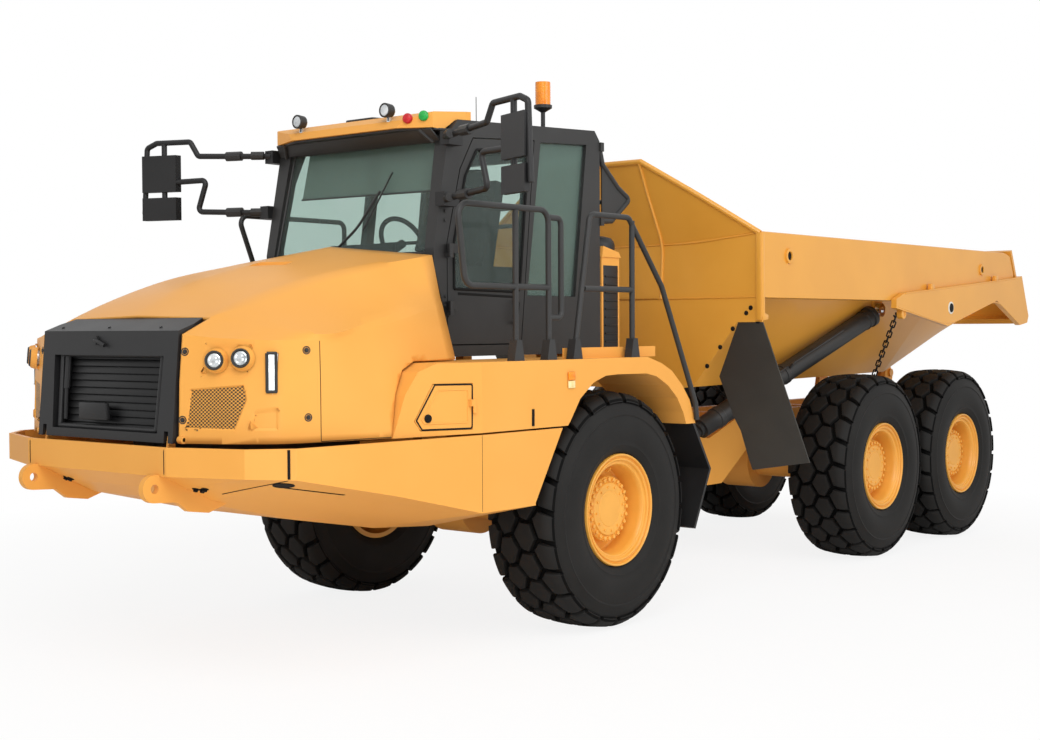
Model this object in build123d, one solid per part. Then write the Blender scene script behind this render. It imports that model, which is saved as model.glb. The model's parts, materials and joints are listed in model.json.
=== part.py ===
from build123d import *
import math
import os

# Articulated six-wheel dump truck, in millimetres. X points forward, Y to the left, Z up.
# The model is drawn with X = 0 at the front axle and Z = 0 on the ground. Each piece is
# moved along X as it is written, so that X = 0 ends up halfway along the whole truck.

# Running gear
TYRE_RADIUS = 808.5
TYRE_WIDTH = 597
TRACK = 2275
WHEELBASE = 3993
BOGIE_SPACING = 1700
BOGIE_X = -WHEELBASE - BOGIE_SPACING / 2
RIM_RADIUS = 381
FLANGE_OFFSET = 265
LUG_COUNT = 16
LUG_DEPTH = 38
LUG_HALF_ANGLE = 7.4
RIM_SIDES = 32
BEAD_GAP = 0.3
AXLE_RADIUS = 150
DRUM_RADIUS = 250
SEAT_GAP = 0.3
MOVING_GAP = 8

# Overall ends
FRONT_TIP = 3308
TAIL_TIP = -7165
HALF_WIDTH = 1440

# Articulation
HITCH_X = -1450
HITCH_Z = 1000
PIN_RADIUS = 60
HITCH_TUBE_RADIUS = 150

# Front frame and bumper
RAIL_Y = 400
RAIL_WIDTH = 80
BUMPER_TOP = 1403
BUMPER_BOTTOM = 1243
BUMPER_FACE_X = 3200
SKIRT_WALL = 20
TOW_EYE_X = 3231
TOW_EYE_Z = 1175
TOW_EYE_Y = 578
TOW_EYE_BORE = 52
TOW_PLATE = 40
PANEL_GAP = 12

# Hood and grille
HOOD_BOTTOM = 1420
HOOD_REAR_X = 1335
HOOD_WALL = 25
GRILLE_BACK_X = 2891
GRILLE_HALF_WIDTH = 640
GRILLE_TOP = 2112
GRILLE_CORNER = (94, 40)
NOSE_HINGE_X = 3100
NOSE_HINGE_Z = 1440
NOSE_SHAFT_RADIUS = 12
NOSE_BRACKET_Y = 580
MOUTH_GAP = 18

# Fenders and deck
DECK_Z = 1840
DECK_INNER_Y = 850
FENDER_WALL = 25
ARCH_RADIUS = 950
ARCH_TOP = 1727
LOCKER_GAP = 5
FENDER_PLAN_X = (2140, 1470)
FENDER_FRONT_Y = HALF_WIDTH - 122
LOCKER_HINGE = (1541, HALF_WIDTH + 1, 1580)

# Cab
CAB_HALF_WIDTH = 800
CAB_FLOOR = 1860
CAB_ROOF = 3440
CAB_POSTS = (880, -450)
CAB_REAR_X = -600
CAB_WALL = 60
GLASS = 8
CAP_HALF_WIDTH = 797
DOOR_THICKNESS = 50
DOOR_HINGE_X = 1070
DOOR_HINGE_Y = 838
DOOR_HINGE_HEIGHTS = (2190, 2560)

# Dump body and tailgate
BODY_FRONT_X = -1840
BODY_RAIL_END_X = -6800
RAIL_TOP = 2770
RAIL_BOTTOM = 2270
RAIL_OUTER_Y = 1430
RAIL_INNER_Y = 1120
FLOOR_Z = 1550
FLOOR_HALF_WIDTH = 620
BODY_PLATE = 16
RAIL_WALL = 55
DUMP_HINGE_X = -6200
DUMP_HINGE_Z = 1560
DUMP_ANGLE = 70
GATE_PIVOT_X = -5210
GATE_PIVOT_Z = 2210
GATE_ARM_Y = 1437
GATE_ARM_THICKNESS = 50
CHAIN_LUG = (BOGIE_X + 593, 1400, 2150)
CHAIN_ANCHOR = (BOGIE_X - 207, 600, 1100)
CHAIN_LINKS = 11
CHAIN_EYE_RADIUS = 44
CHAIN_TOP_GAP = 40
LINK_BAR = 15
LINK_HALF_WIDTH = 26
LINK_POINT = 60

# Hoist and steering cylinders: pin of the barrel, eye of the rod
HOIST_PIN = (-2150, 600, 1170)
HOIST_EYE = (-4400, 1165, 2190)
HOIST_BARREL_RADIUS = 85
HOIST_ROD_RADIUS = 50
HOIST_EYE_WIDTH = 70
STEER_PIN = (-450, 560, 1000)
STEER_EYE = (-1700, 380, 1000)
STEER_BARREL_RADIUS = 55
STEER_ROD_RADIUS = 28

FRONT_AXLE_X = -(FRONT_TIP + TAIL_TIP) / 2
AXLE_X = {"front": 0, "mid": -WHEELBASE, "rear": -WHEELBASE - BOGIE_SPACING}
PLANES = {
    "XZ": (lambda a, b, c: (a, c, b), (0, 1, 0)),
    "XY": (lambda a, b, c: (a, b, c), (0, 0, 1)),
    "YZ": (lambda a, b, c: (c, a, b), (1, 0, 0)),
}


def save(name, *shapes):
    """Write the solids of one node, moved so that the truck is centred on X = 0."""
    solids = [solid for shape in shapes for solid in shape.solids()]
    os.makedirs("parts", exist_ok=True)
    export_step(Compound(solids).moved(Location((FRONT_AXLE_X, 0, 0))), f"parts/{name}.step")


def face(points, plane="XZ", at=0):
    """A flat face from outline points given along the plane's two axes."""
    place = PLANES[plane][0]
    return make_face(Polyline(*[place(a, b, at) for a, b in points], close=True))


def prism(points, start, end, plane="XZ"):
    """An outline pushed from start to end across its plane."""
    return extrude(face(points, plane, start), amount=end - start, dir=PLANES[plane][1])


def block(x, y, z):
    """A box between pairs of limits."""
    return prism([(x[0], z[0]), (x[1], z[0]), (x[1], z[1]), (x[0], z[1])], y[0], y[1])


def rod(start, end, radius):
    """A round bar between two points."""
    line = Vector(*end) - Vector(*start)
    return extrude(Plane(origin=start, z_dir=line) * Circle(radius), amount=line.length)


def tube(points, radius, bend):
    """A round bar along straight runs joined by arcs."""
    path = FilletPolyline(*points, radius=bend)
    return sweep(Plane(origin=path @ 0, z_dir=path % 0) * Circle(radius), path=path)


def mirrored(shape):
    return mirror(shape, about=Plane.XZ)


def pair(shape):
    """A shape and its twin on the right-hand side."""
    return Compound(shape.solids() + mirrored(shape).solids())


def slab(points, offset):
    """A flat polygon in space, thickened by an offset vector."""
    line = Vector(*offset)
    return extrude(make_face(Polyline(*points, close=True)), amount=line.length, dir=line)


def ring(pairs, y):
    """Points about the wheel axis from (angle, radius) pairs, at a distance y along it."""
    points = []
    for angle, radius in pairs:
        a = math.radians(angle)
        points.append(Vector(radius * math.sin(a), y, radius * math.cos(a)))
    return points


def regular(sides, radius, y):
    return ring([(i * 360 / sides, radius) for i in range(sides)], y)


def facet(points):
    """Flat faces over three or four corners: one, or two triangles where they aren't in a plane."""
    corners = []
    for point in points:
        if all((point - other).length > 0.001 for other in corners):
            corners.append(point)
    if len(corners) < 3:
        return []
    normal = (corners[1] - corners[0]).cross(corners[2] - corners[0]).normalized()
    if abs(normal.dot(corners[-1] - corners[0])) < 0.0001:
        return [make_face(Polyline(*corners, close=True))]
    a, b, c, d = corners
    return [make_face(Polyline(a, b, c, close=True)), make_face(Polyline(a, c, d, close=True))]


def skin(rings, capped=True):
    """A solid of flat faces that join each ring of points to the next. Its first and last ring
    are capped, or, if not, they are joined to each other."""
    faces = []
    for a, b in zip(rings, rings[1:] if capped else rings[1:] + rings[:1]):
        for i in range(len(a)):
            j = (i + 1) % len(a)
            faces += facet([a[i], a[j], b[j], b[i]])
    if capped:
        faces += [make_face(Polyline(*end, close=True)) for end in (rings[0], rings[-1])]
    return Solid(Shell(faces))


def lugs(crest, groove, y):
    """A ring through the lugs' four corners each."""
    pitch = 360 / LUG_COUNT
    pairs = []
    for i in range(LUG_COUNT):
        middle = i * pitch + pitch / 4
        pairs += [(middle - LUG_HALF_ANGLE, groove), (middle - LUG_HALF_ANGLE, crest),
                  (middle + LUG_HALF_ANGLE, crest), (middle + LUG_HALF_ANGLE, groove)]
    return ring(pairs, y)


def bead(radius, y):
    """A regular ring whose corners come in pairs, one for the foot and one for the crest of a lug."""
    corners = regular(LUG_COUNT * 2, radius, y)
    return [point for point in corners for _ in range(2)]


def tyre():
    """A tyre about Y at the origin, with lugs across its tread."""
    crest = TYRE_RADIUS / math.cos(math.radians(90 / LUG_COUNT - LUG_HALF_ANGLE))
    side = TYRE_WIDTH / 2
    half = [lugs(crest, crest - LUG_DEPTH, side * 0.76), lugs(crest - 118, crest - 130, side - 12),
            bead(585, side), bead(RIM_RADIUS + BEAD_GAP, FLANGE_OFFSET - 25)]
    other = [[Vector(v.X, -v.Y, v.Z) for v in points] for points in reversed(half)]
    return skin(half + other, capped=False)


def rim():
    """A rim about Y at the origin, its dish facing +Y."""
    inner = RIM_RADIUS - 34
    profile = [(inner, 40), (inner, 15 - FLANGE_OFFSET), (RIM_RADIUS, 15 - FLANGE_OFFSET),
               (RIM_RADIUS, FLANGE_OFFSET), (RIM_RADIUS - 12, FLANGE_OFFSET), (inner - 60, 75), (215, 75),
               (200, 165), (150, 165), (140, 200)]
    return skin([regular(RIM_SIDES, radius, y) for radius, y in profile])


def wheels():
    plain_tyre, plain_rim = tyre(), rim()
    for axle, x in AXLE_X.items():
        left = Location((x, TRACK / 2, TYRE_RADIUS))
        for side in ("left", "right"):
            shown_tyre, shown_rim = plain_tyre.moved(left), plain_rim.moved(left)
            if side == "right":
                shown_tyre, shown_rim = mirrored(shown_tyre), mirrored(shown_rim)
            save(f"tyre_{axle}_{side}", shown_tyre)
            save(f"rim_{axle}_{side}", shown_rim)


def axle(x):
    """A rigid axle with its differential, brake drums and hub spindles."""
    end = TRACK / 2 + 40 - SEAT_GAP
    drum = TRACK / 2 - FLANGE_OFFSET - 30
    at = lambda y: (x, y, TYRE_RADIUS)
    shape = rod(at(-end), at(end), AXLE_RADIUS)
    shape += rod(at(-170), at(170), 260)
    for side in (-1, 1):
        shape += rod(at(side * drum), at(side * end), DRUM_RADIUS)
    return shape


def front_axle():
    """The front axle with the blocks that carry the frame on it."""
    shape = axle(AXLE_X["front"])
    for s in (-1, 1):
        y = s * RAIL_Y
        shape += block((-90, 90), (y - 40, y + 40), (TYRE_RADIUS, 1010 - SEAT_GAP))
    return shape


def front_chassis():
    side = [(2960, 1165), (2140, 930), (1200, 800), (420, 800), (300, 1010), (-300, 1010), (-420, 760),
            (-900, 700), (-1150, 700), (-1150, 1300), (-600, 1300), (-300, 1240), (2960, 1240)]
    rails = [prism(side, s * RAIL_Y - RAIL_WIDTH / 2, s * RAIL_Y + RAIL_WIDTH / 2) for s in (-1, 1)]
    inside = RAIL_Y - RAIL_WIDTH / 2
    frame = rails[0] + rails[1]
    # Behind the axle the rails fork above and below the steering cylinders
    frame -= block((-1200, -580), (-500, 500), (900, 1100))
    for s in (-1, 1):
        x, y, z = STEER_PIN
        ears = block((x - 60, x + 60), (RAIL_Y, y + 50), (z + 62, z + 92))
        ears += block((x - 60, x + 60), (RAIL_Y, y + 50), (z - 92, z - 62))
        ears += rod((x, y, z - 92), (x, y, z + 92), 30)
        frame += ears if s == 1 else mirrored(ears)
    for x0, x1, z0, z1 in ((2800, 2960, 1170, 1240), (1100, 1260, 815, 1100), (-900, -780, 720, 1280)):
        frame += block((x0, x1), (-inside, inside), (z0, z1))
    for s in (-1, 1):
        y0, y1 = s * RAIL_Y - RAIL_WIDTH / 2, s * RAIL_Y + RAIL_WIDTH / 2
        frame += prism([(2700, 1200), (2900, 1200), (2960, 1270),
                        (BUMPER_FACE_X - SKIRT_WALL - SEAT_GAP, 1270),
                        (BUMPER_FACE_X - SKIRT_WALL - SEAT_GAP, 1370), (2900, 1370), (2700, 1239)], y0, y1)
        for x in CAB_POSTS:
            frame += block((x - 50, x + 50), (y0, y1), (1236, CAB_FLOOR - SEAT_GAP))
    arm = block((CAB_POSTS[0] - 40, CAB_POSTS[0] + 40), (RAIL_Y, DECK_INNER_Y - SEAT_GAP), (1520, 1600))
    frame += arm + mirrored(arm)
    for z0, z1 in ((690, 760), (1240, 1310)):
        nose = 190
        lug = block((HITCH_X, -900), (-nose, nose), (z0, z1))
        lug += rod((HITCH_X, 0, z0), (HITCH_X, 0, z1), nose)
        lug += prism([(-1150, -RAIL_Y), (-1150, RAIL_Y), (-900, RAIL_Y), (-900, -RAIL_Y)], z0, z1, "XY")
        frame += lug - rod((HITCH_X, 0, z0 - 1), (HITCH_X, 0, z1 + 1), PIN_RADIUS + 0.5)
    return frame


# Belly sections: x, half width at the skirt, height of the skirt's edge, half width and height of the belly
BELLY = [
    (BUMPER_FACE_X, 660, BUMPER_BOTTOM, 400, BUMPER_BOTTOM - 1),
    (3040, 1120, BUMPER_BOTTOM, 460, 1150),
    (2840, HALF_WIDTH - 130, BUMPER_BOTTOM - 10, 520, 1060),
    (2140, HALF_WIDTH - 60, 1090, 520, 890),
    (1470, HALF_WIDTH, 932, 520, 770),
    (960, HALF_WIDTH, 932, 520, 730),
]


def belly_shell(inset, extra):
    faces = []
    for x, skirt_y, skirt_z, belly_y, belly_z in BELLY:
        y, z, b, low = skirt_y - inset, skirt_z + inset, belly_y - inset, belly_z + inset
        top = BUMPER_TOP + extra
        outline = [(-y, top), (-y, z), (-b, low), (b, low), (y, z), (y, top)]
        faces.append(face(outline, "YZ", x - inset * 0.999))
    return loft(faces, ruled=True)


def bumper():
    shell = belly_shell(0, 0) - belly_shell(SKIRT_WALL, 1)
    skirt = prism([(970, 932), (680, BUMPER_TOP), (970, BUMPER_TOP)], HALF_WIDTH - SKIRT_WALL, HALF_WIDTH)
    shell += skirt + mirrored(skirt)
    well = prism([(985, BUMPER_TOP), (965, BUMPER_TOP), (965, 940), (985, 940)], 700, HALF_WIDTH - 5)
    shell += well + mirrored(well)
    # Shaft that the hood and the grille turn on, with its two brackets
    x, z = NOSE_HINGE_X, NOSE_HINGE_Z
    shaft_end = GRILLE_HALF_WIDTH + 52
    shell += rod((x, -shaft_end, z), (x, shaft_end, z), NOSE_SHAFT_RADIUS)
    side = [(x - 18, 1290), (BUMPER_FACE_X - 15, 1290), (BUMPER_FACE_X - 15, BUMPER_TOP - 8),
            (x + 30, BUMPER_TOP - 8), (x + 20, z + 16), (x - 18, z + 16)]
    bracket = prism(side, NOSE_BRACKET_Y - 10, NOSE_BRACKET_Y + 10)
    shell += bracket + mirrored(bracket)
    # Tow plates under the front corners
    for s in (-1, 1):
        y0 = s * TOW_EYE_Y - TOW_PLATE / 2
        plate = prism([(TOW_EYE_X, TOW_EYE_Z + 75), (TOW_EYE_X, TOW_EYE_Z - 77), (3080, 1090), (3000, 1030),
                       (2860, 1010), (2700, 1060), (2700, 1180), (2900, 1250)], y0, y0 + TOW_PLATE)
        plate += rod((TOW_EYE_X, y0, TOW_EYE_Z), (TOW_EYE_X, y0 + TOW_PLATE, TOW_EYE_Z), 77)
        plate -= rod((TOW_EYE_X, y0 - 1, TOW_EYE_Z), (TOW_EYE_X, y0 + TOW_PLATE + 1, TOW_EYE_Z),
                     TOW_EYE_BORE / 2)
        shell += plate
    return shell


# Hood sections: x, half width at the bottom, crease (y, z), ridge (y, z), height at the middle
HOOD = [
    (3160, 1230, 1000, 1985, 640, 2010, 2010),
    (2890, 1230, 1120, 2000, 640, 2110, 2122),
    (2585, 1235, 1226, 2014, 690, 2225, 2285),
    (2100, 1325, 1200, 2095, 770, 2360, 2430),
    (HOOD_REAR_X, 1240, 985, 2235, 917, 2504, 2590),
]
HOOD_PLAN = [(3112, -655), (3112, 655), (2960, 980), (2780, 1180), (2585, 1230), (2150, 1325), (1300, 1400),
             (1300, -1400), (2150, -1325), (2585, -1230), (2780, -1180), (2960, -980)]


# Headlamps of the left side: centre of the lens (x, y, z)
LAMPS = [(3030, 869, 1877), (2958, 1002, 1889)]
# Corner panel of the hood: outline of the mesh, of the light bar and of the blank recess, (x, y, z)
MESH = [(3082, 717, 1720), (2948, 995, 1744), (2932, 1011, 1661), (2971, 956, 1495), (3095, 691, 1500)]
BLANK = [(2905, 1041, 1593), (2816, 1139, 1623), (2817, 1138, 1494), (2928, 1016, 1495)]
LIGHT_BAR = [(2856, 1095, 1915), (2823, 1132, 1915), (2823, 1132, 1705), (2856, 1095, 1705)]
HOOD_CORNER_X = (2700, 3115)
POCKET_DEPTH = 10


def hood_solid(inset):
    faces = []
    for x, bottom_y, crease_y, crease_z, ridge_y, ridge_z, top in HOOD:
        half = [(bottom_y - inset, HOOD_BOTTOM - inset), (crease_y - inset, crease_z - inset),
                (ridge_y - inset, ridge_z - inset)]
        ring = half + [(0, top - inset)] + [(-y, z) for y, z in reversed(half)]
        faces.append(face(ring, "YZ", x))
    body = loft(faces, ruled=True)
    plan = prism([(x - inset if x > 2000 else x, y) for x, y in HOOD_PLAN], 1300, 2800, "XY")
    return body & plan


def fender_outline(grow=0.0):
    """Outline of the fender's side, (x, z), with its front edge moved by grow."""
    return [(660, BUMPER_TOP + PANEL_GAP), (2115 + grow, BUMPER_TOP + PANEL_GAP), (2030 + grow, 1660 + grow),
            (1938 + grow, 1790 + grow), (1800, DECK_Z + grow), (660, DECK_Z + grow)]


def through_corner(points, grow=0.0):
    """An outline on the hood's left corner panel as a bar along X, for cuts and inserts there."""
    flat = face([(y, z) for _, y, z in points], "YZ", HOOD_CORNER_X[0])
    flat = offset(flat, grow, kind=Kind.INTERSECTION) if grow else flat
    return extrude(flat, amount=HOOD_CORNER_X[1] - HOOD_CORNER_X[0], dir=(1, 0, 0))


def corner_layer():
    """The outer part of the hood's wall, which the pockets cut away and the light bar fills."""
    return hood_solid(0) - hood_solid(POCKET_DEPTH)


def pockets():
    """Shallow pockets in both corners of the hood: mesh, blank recess and light bar."""
    layer = corner_layer()
    left = [through_corner(MESH) & layer, through_corner(BLANK) & layer, through_corner(LIGHT_BAR) & layer]
    return pair(Compound([solid for pocket in left for solid in pocket.solids()]))


def hood():
    shell = hood_solid(0) - hood_solid(HOOD_WALL)
    mouth = GRILLE_HALF_WIDTH + MOUTH_GAP
    shell -= block((GRILLE_BACK_X - 6, 3300), (-mouth, mouth), (1300, 2300))
    reach = math.hypot(NOSE_HINGE_X - GRILLE_BACK_X, GRILLE_TOP - NOSE_HINGE_Z) + MOUTH_GAP
    shell -= rod((NOSE_HINGE_X, -mouth, NOSE_HINGE_Z), (NOSE_HINGE_X, mouth, NOSE_HINGE_Z), reach)
    cut = prism([(1000, 1300)] + [(2127, 1300)] + fender_outline(12)[1:-1] + [(1000, DECK_Z + 12)], -1500,
                1500)
    shell = shell - cut - pockets() - headlamps(SEAT_GAP)
    x, z, y = NOSE_HINGE_X, NOSE_HINGE_Z, mouth + 9
    ear = prism([(x - 60, z - 18), (x + 14, z - 18), (x + 18, z), (x + 12, z + 18), (x - 60, z + 18)], y, y
                + 26)
    shaft_room = rod((x, mouth - 1, z), (x, mouth + 45, z), NOSE_SHAFT_RADIUS + SEAT_GAP)
    return shell + ear + mirrored(ear) - shaft_room - mirrored(shaft_room)


def grille_frame():
    side = [(GRILLE_BACK_X, GRILLE_TOP), (3089, 2040), (3142, HOOD_BOTTOM), (3070, HOOD_BOTTOM), (3030, 1960),
            (GRILLE_BACK_X, 2060)]
    frame = prism(side, -GRILLE_HALF_WIDTH, GRILLE_HALF_WIDTH)
    opening = prism([(-500, 1470), (500, 1470), (520, 1900), (-520, 1900)], 2990, 3200, "YZ")
    # The rear corners of the top are cut off, which keeps them clear of the hood
    cut_x, cut_y = GRILLE_CORNER
    edge = GRILLE_HALF_WIDTH + 1
    back = GRILLE_BACK_X - 1
    corner = prism([(back, edge - cut_y), (back + cut_x, edge), (back, edge)], 2000, GRILLE_TOP + 1, "XY")
    frame = frame - opening - corner - mirrored(corner)
    x, z = NOSE_HINGE_X, NOSE_HINGE_Z
    frame -= rod((x, -700, z), (x, 700, z), NOSE_SHAFT_RADIUS + SEAT_GAP)
    for s in (-1, 1):
        y = s * NOSE_BRACKET_Y
        frame -= block((x - 60, x + 60), (y - 18, y + 18), (HOOD_BOTTOM - 1, z + 45))
    return frame


def grille_panel():
    low, high = 3069.3, 3031.1
    panel = prism([(low, 1425), (high, 1940), (high - 20, 1940), (low - 20, 1425)], -560, 560)
    for i in range(4):
        z = 1480 + i * 112
        for y in (-480, 20):
            panel -= block((2900, 3100), (y, y + 460), (z, z + 80))
    return panel


def headlamps(grow=0.0):
    lamps = []
    for x, y, z in LAMPS:
        lamps += rod((x - 90 - grow, y - 45, z), (x + grow, y, z), 45 + grow).solids()
    if not grow:
        lamps += (through_corner(LIGHT_BAR, -SEAT_GAP) & corner_layer()).solids()
    return pair(Compound(lamps))


def fender():
    """The left fender box, its deck and the flare over the wheel."""
    outline = fender_outline()
    box = prism(outline, DECK_INNER_Y, HALF_WIDTH)
    front_x, wide_x = FENDER_PLAN_X
    plan = prism([(600, 800), (600, HALF_WIDTH), (wide_x, HALF_WIDTH), (front_x, FENDER_FRONT_Y),
                  (front_x, 800)],
                 1300, 1900, "XY")
    box = box & plan
    w = FENDER_WALL
    room = prism([(660 + w, BUMPER_TOP + PANEL_GAP + w), (2080, BUMPER_TOP + PANEL_GAP + w), (2000, 1650),
                  (1915, 1770), (1780, DECK_Z - w), (660 + w, DECK_Z - w)], DECK_INNER_Y + w, HALF_WIDTH + 1)
    inner_plan = prism([(600, 800), (600, HALF_WIDTH - w), (wide_x, HALF_WIDTH - w),
                        (front_x, FENDER_FRONT_Y - w), (front_x, 800)], 1300, 1900, "XY")
    box -= room & inner_plan
    # Arch over the wheel: the flare, and the deck behind it
    flare_out = [(661, BUMPER_TOP + PANEL_GAP), (661, DECK_Z), (-279, DECK_Z), (-453, 1792), (-580, 1736),
                 (-710, 1631), (-803, 1526), (-880, 1353), (-760, 1353), (-720, 1440), (-644, 1545),
                 (-529, 1636), (-389, 1703), (-265, ARCH_TOP), (84, ARCH_TOP + 3), (211, ARCH_TOP - 3),
                 (347, 1683), (493, 1582), (600, 1440), (625, BUMPER_TOP + PANEL_GAP)]
    flare = prism(flare_out, DECK_INNER_Y, HALF_WIDTH)
    flare -= prism([(500, 1600), (500, DECK_Z - w), (-290, DECK_Z - w), (-440, 1765), (-265, 1750),
                    (84, 1755),
                    (211, 1748)], DECK_INNER_Y + w, HALF_WIDTH - w)
    step = block((-510, 540), (1330, 1345), (DECK_Z, 1912))
    return box + flare + step


LOCKER_DEPTH = 140
LOCKER_HATCH = [(1834, 1721), (1538, 1717), (1541, 1440), (1923, 1447), (1968, 1507)]


def fenders():
    """Both fender boxes; only the left one has a locker in it."""
    left = fender()
    x, y, z = LOCKER_HINGE
    opened = left - prism(LOCKER_HATCH, HALF_WIDTH - LOCKER_DEPTH, HALF_WIDTH + 60)
    opened += block((x - 25, x), (y - 12, y + 4), (z - 40, z)) + rod((x, y, z - 40), (x, y, z), 9)
    return Compound(opened.solids() + mirrored(left).solids())


def locker_door():
    """The hatch of the left locker, a panel that follows the fender's slanted side."""
    w = FENDER_WALL
    front_x, wide_x = FENDER_PLAN_X
    plan = prism([(wide_x, HALF_WIDTH), (front_x, FENDER_FRONT_Y), (front_x, FENDER_FRONT_Y - w),
                  (wide_x, HALF_WIDTH - w)], 1300, 1900, "XY")
    leaf = offset(face(LOCKER_HATCH, "XZ", HALF_WIDTH - LOCKER_DEPTH), -LOCKER_GAP, kind=Kind.INTERSECTION)
    leaf = extrude(leaf, amount=200, dir=(0, 1, 0)) & plan
    x, y, z = LOCKER_HINGE
    return leaf + block((x, x + 30), (y - 30, y + 6), (z + SEAT_GAP, z + 40)) + rod((x, y, z + SEAT_GAP),
                                                                                    (x, y, z + 40), 9)


# Side outline of the cab, (x, z)
CAB_SIDE = [(1000, CAB_FLOOR), (1190, 2450), (1190, 2560), (1045, 3300), (950, 3400), (CAB_REAR_X + 60, 3470),
            (CAB_REAR_X, 3400), (CAB_REAR_X, CAB_FLOOR)]
DOOR = [(1060, 1940), (1060, 2600), (930, 3080), (800, 3290), (165, 3330), (315, 1940)]
DOOR_GLASS = [(1000, 2300), (1000, 2600), (885, 3040), (770, 3220), (225, 3260), (330, 2290)]
SIDE_WINDOW = [(90, 3330), (245, 2265), (-300, 2265), (-440, 3360)]


REAR_WINDOW = [(-700, 2340), (700, 2340), (700, 3300), (-700, 3300)]
WINDSCREEN = [(-720, 2530), (720, 2530), (690, 3270), (-690, 3270)]
RIGHT_WINDOW = [(1080, 2320), (1080, 2600), (960, 3080), (860, 3290), (165, 3330), (315, 2320)]


def pane(points, y):
    """A pane that fills a window, with a small gap all round."""
    sheet = offset(face(points, "XZ", y - GLASS / 2), -SEAT_GAP, kind=Kind.INTERSECTION)
    return extrude(sheet, amount=GLASS, dir=(0, 1, 0))


def shrink_cab(w):
    return [(1000 - w, CAB_FLOOR + w), (1190 - w, 2450), (1190 - w, 2560), (1045 - w, 3300 - w / 2),
            (950 - w / 2, 3400 - w), (CAB_REAR_X + 60 + w / 2, 3470 - w), (CAB_REAR_X + w, 3400 - w / 2),
            (CAB_REAR_X + w, CAB_FLOOR + w)]


def cab_shell():
    w = CAB_WALL
    shell = prism(CAB_SIDE, -CAB_HALF_WIDTH, CAB_HALF_WIDTH) - prism(shrink_cab(w), -CAB_HALF_WIDTH + w,
                                                                     CAB_HALF_WIDTH - w)
    doorway = offset(face(DOOR, "XZ", CAB_HALF_WIDTH - w - 1), MOVING_GAP, kind=Kind.INTERSECTION)
    shell -= extrude(doorway, amount=w + 2, dir=(0, 1, 0))
    shell -= prism(RIGHT_WINDOW, -CAB_HALF_WIDTH - 1, -CAB_HALF_WIDTH + w + 1)
    shell -= prism(SIDE_WINDOW, -CAB_HALF_WIDTH - 1, CAB_HALF_WIDTH + 1)
    shell -= prism(REAR_WINDOW, CAB_REAR_X - 1, CAB_REAR_X + w + 1, "YZ")
    shell -= prism(WINDSCREEN, 950, 1300, "YZ")
    # Lower knuckles of the door's hinges
    for z in DOOR_HINGE_HEIGHTS:
        top = z - 30 - SEAT_GAP
        shell += block((DOOR_HINGE_X - 4, DOOR_HINGE_X + 14), (CAB_HALF_WIDTH - 1, DOOR_HINGE_Y),
                       (top - 30, top))
        shell += rod((DOOR_HINGE_X, DOOR_HINGE_Y, top - 30), (DOOR_HINGE_X, DOOR_HINGE_Y, top), 18)
    return shell


def cab_glass():
    """Fixed panes, each set in the middle of its wall."""
    w = CAB_WALL
    panes = []
    for s in (-1, 1):
        y = s * (CAB_HALF_WIDTH - w / 2)
        panes.append(pane(SIDE_WINDOW, y))
    y = -(CAB_HALF_WIDTH - w / 2)
    panes.append(pane(RIGHT_WINDOW, y))
    x = CAB_REAR_X + w / 2
    panes.append(extrude(offset(face(REAR_WINDOW, "YZ", x - GLASS / 2), -SEAT_GAP, kind=Kind.INTERSECTION),
                         amount=GLASS, dir=(1, 0, 0)))
    leaning = prism([(1162, 2500), (1162 - GLASS, 2500), (1005 - GLASS, 3300), (1005, 3300)], -750, 750)
    panes.append(extrude(offset(face(WINDSCREEN, "YZ", 900), -SEAT_GAP, kind=Kind.INTERSECTION), amount=400,
                         dir=(1, 0, 0)) & leaning)
    return Compound([s for p in panes for s in p.solids()])


def roof_cap():
    """The yellow cap over the roof's front and the black visor under it."""
    cap = prism([(1215, 3345), (1200, 3395), (1120, 3440), (820, 3462), (820, 3407), (950, 3400.5),
                 (1045.5, 3330)],
                -CAP_HALF_WIDTH, CAP_HALF_WIDTH)
    front, end = 1130, CAP_HALF_WIDTH - 55
    cap &= prism([(1216, -500), (1216, 500), (front, end), (870, CAP_HALF_WIDTH), (800, CAP_HALF_WIDTH),
                  (800, -CAP_HALF_WIDTH), (870, -CAP_HALF_WIDTH), (front, -end)], 3300, 3500, "XY")
    lamps = []
    for s in (-1, 1):
        y = s * 418
        foot = block((1188, 1206), (y - 12, y + 12), (3392, 3430)) - cap
        lamps.append(foot + rod((1180, y, 3465), (1240, y, 3465), 42))
    return cap, lamps


def door():
    y0 = CAB_HALF_WIDTH - DOOR_THICKNESS
    frame = prism(DOOR, y0, CAB_HALF_WIDTH) - prism(DOOR_GLASS, y0 - 1, CAB_HALF_WIDTH + 1)
    for z in DOOR_HINGE_HEIGHTS:
        frame += block((1000, 1055), (CAB_HALF_WIDTH - 1, CAB_HALF_WIDTH + 20), (z - 30, z + 30))
        frame += block((1000, DOOR_HINGE_X), (CAB_HALF_WIDTH + 6, DOOR_HINGE_Y), (z - 30, z + 30))
        frame += rod((DOOR_HINGE_X, DOOR_HINGE_Y, z - 30), (DOOR_HINGE_X, DOOR_HINGE_Y, z + 30), 18)
    return frame


def door_glass():
    return pane(DOOR_GLASS, CAB_HALF_WIDTH - DOOR_THICKNESS / 2)


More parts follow.
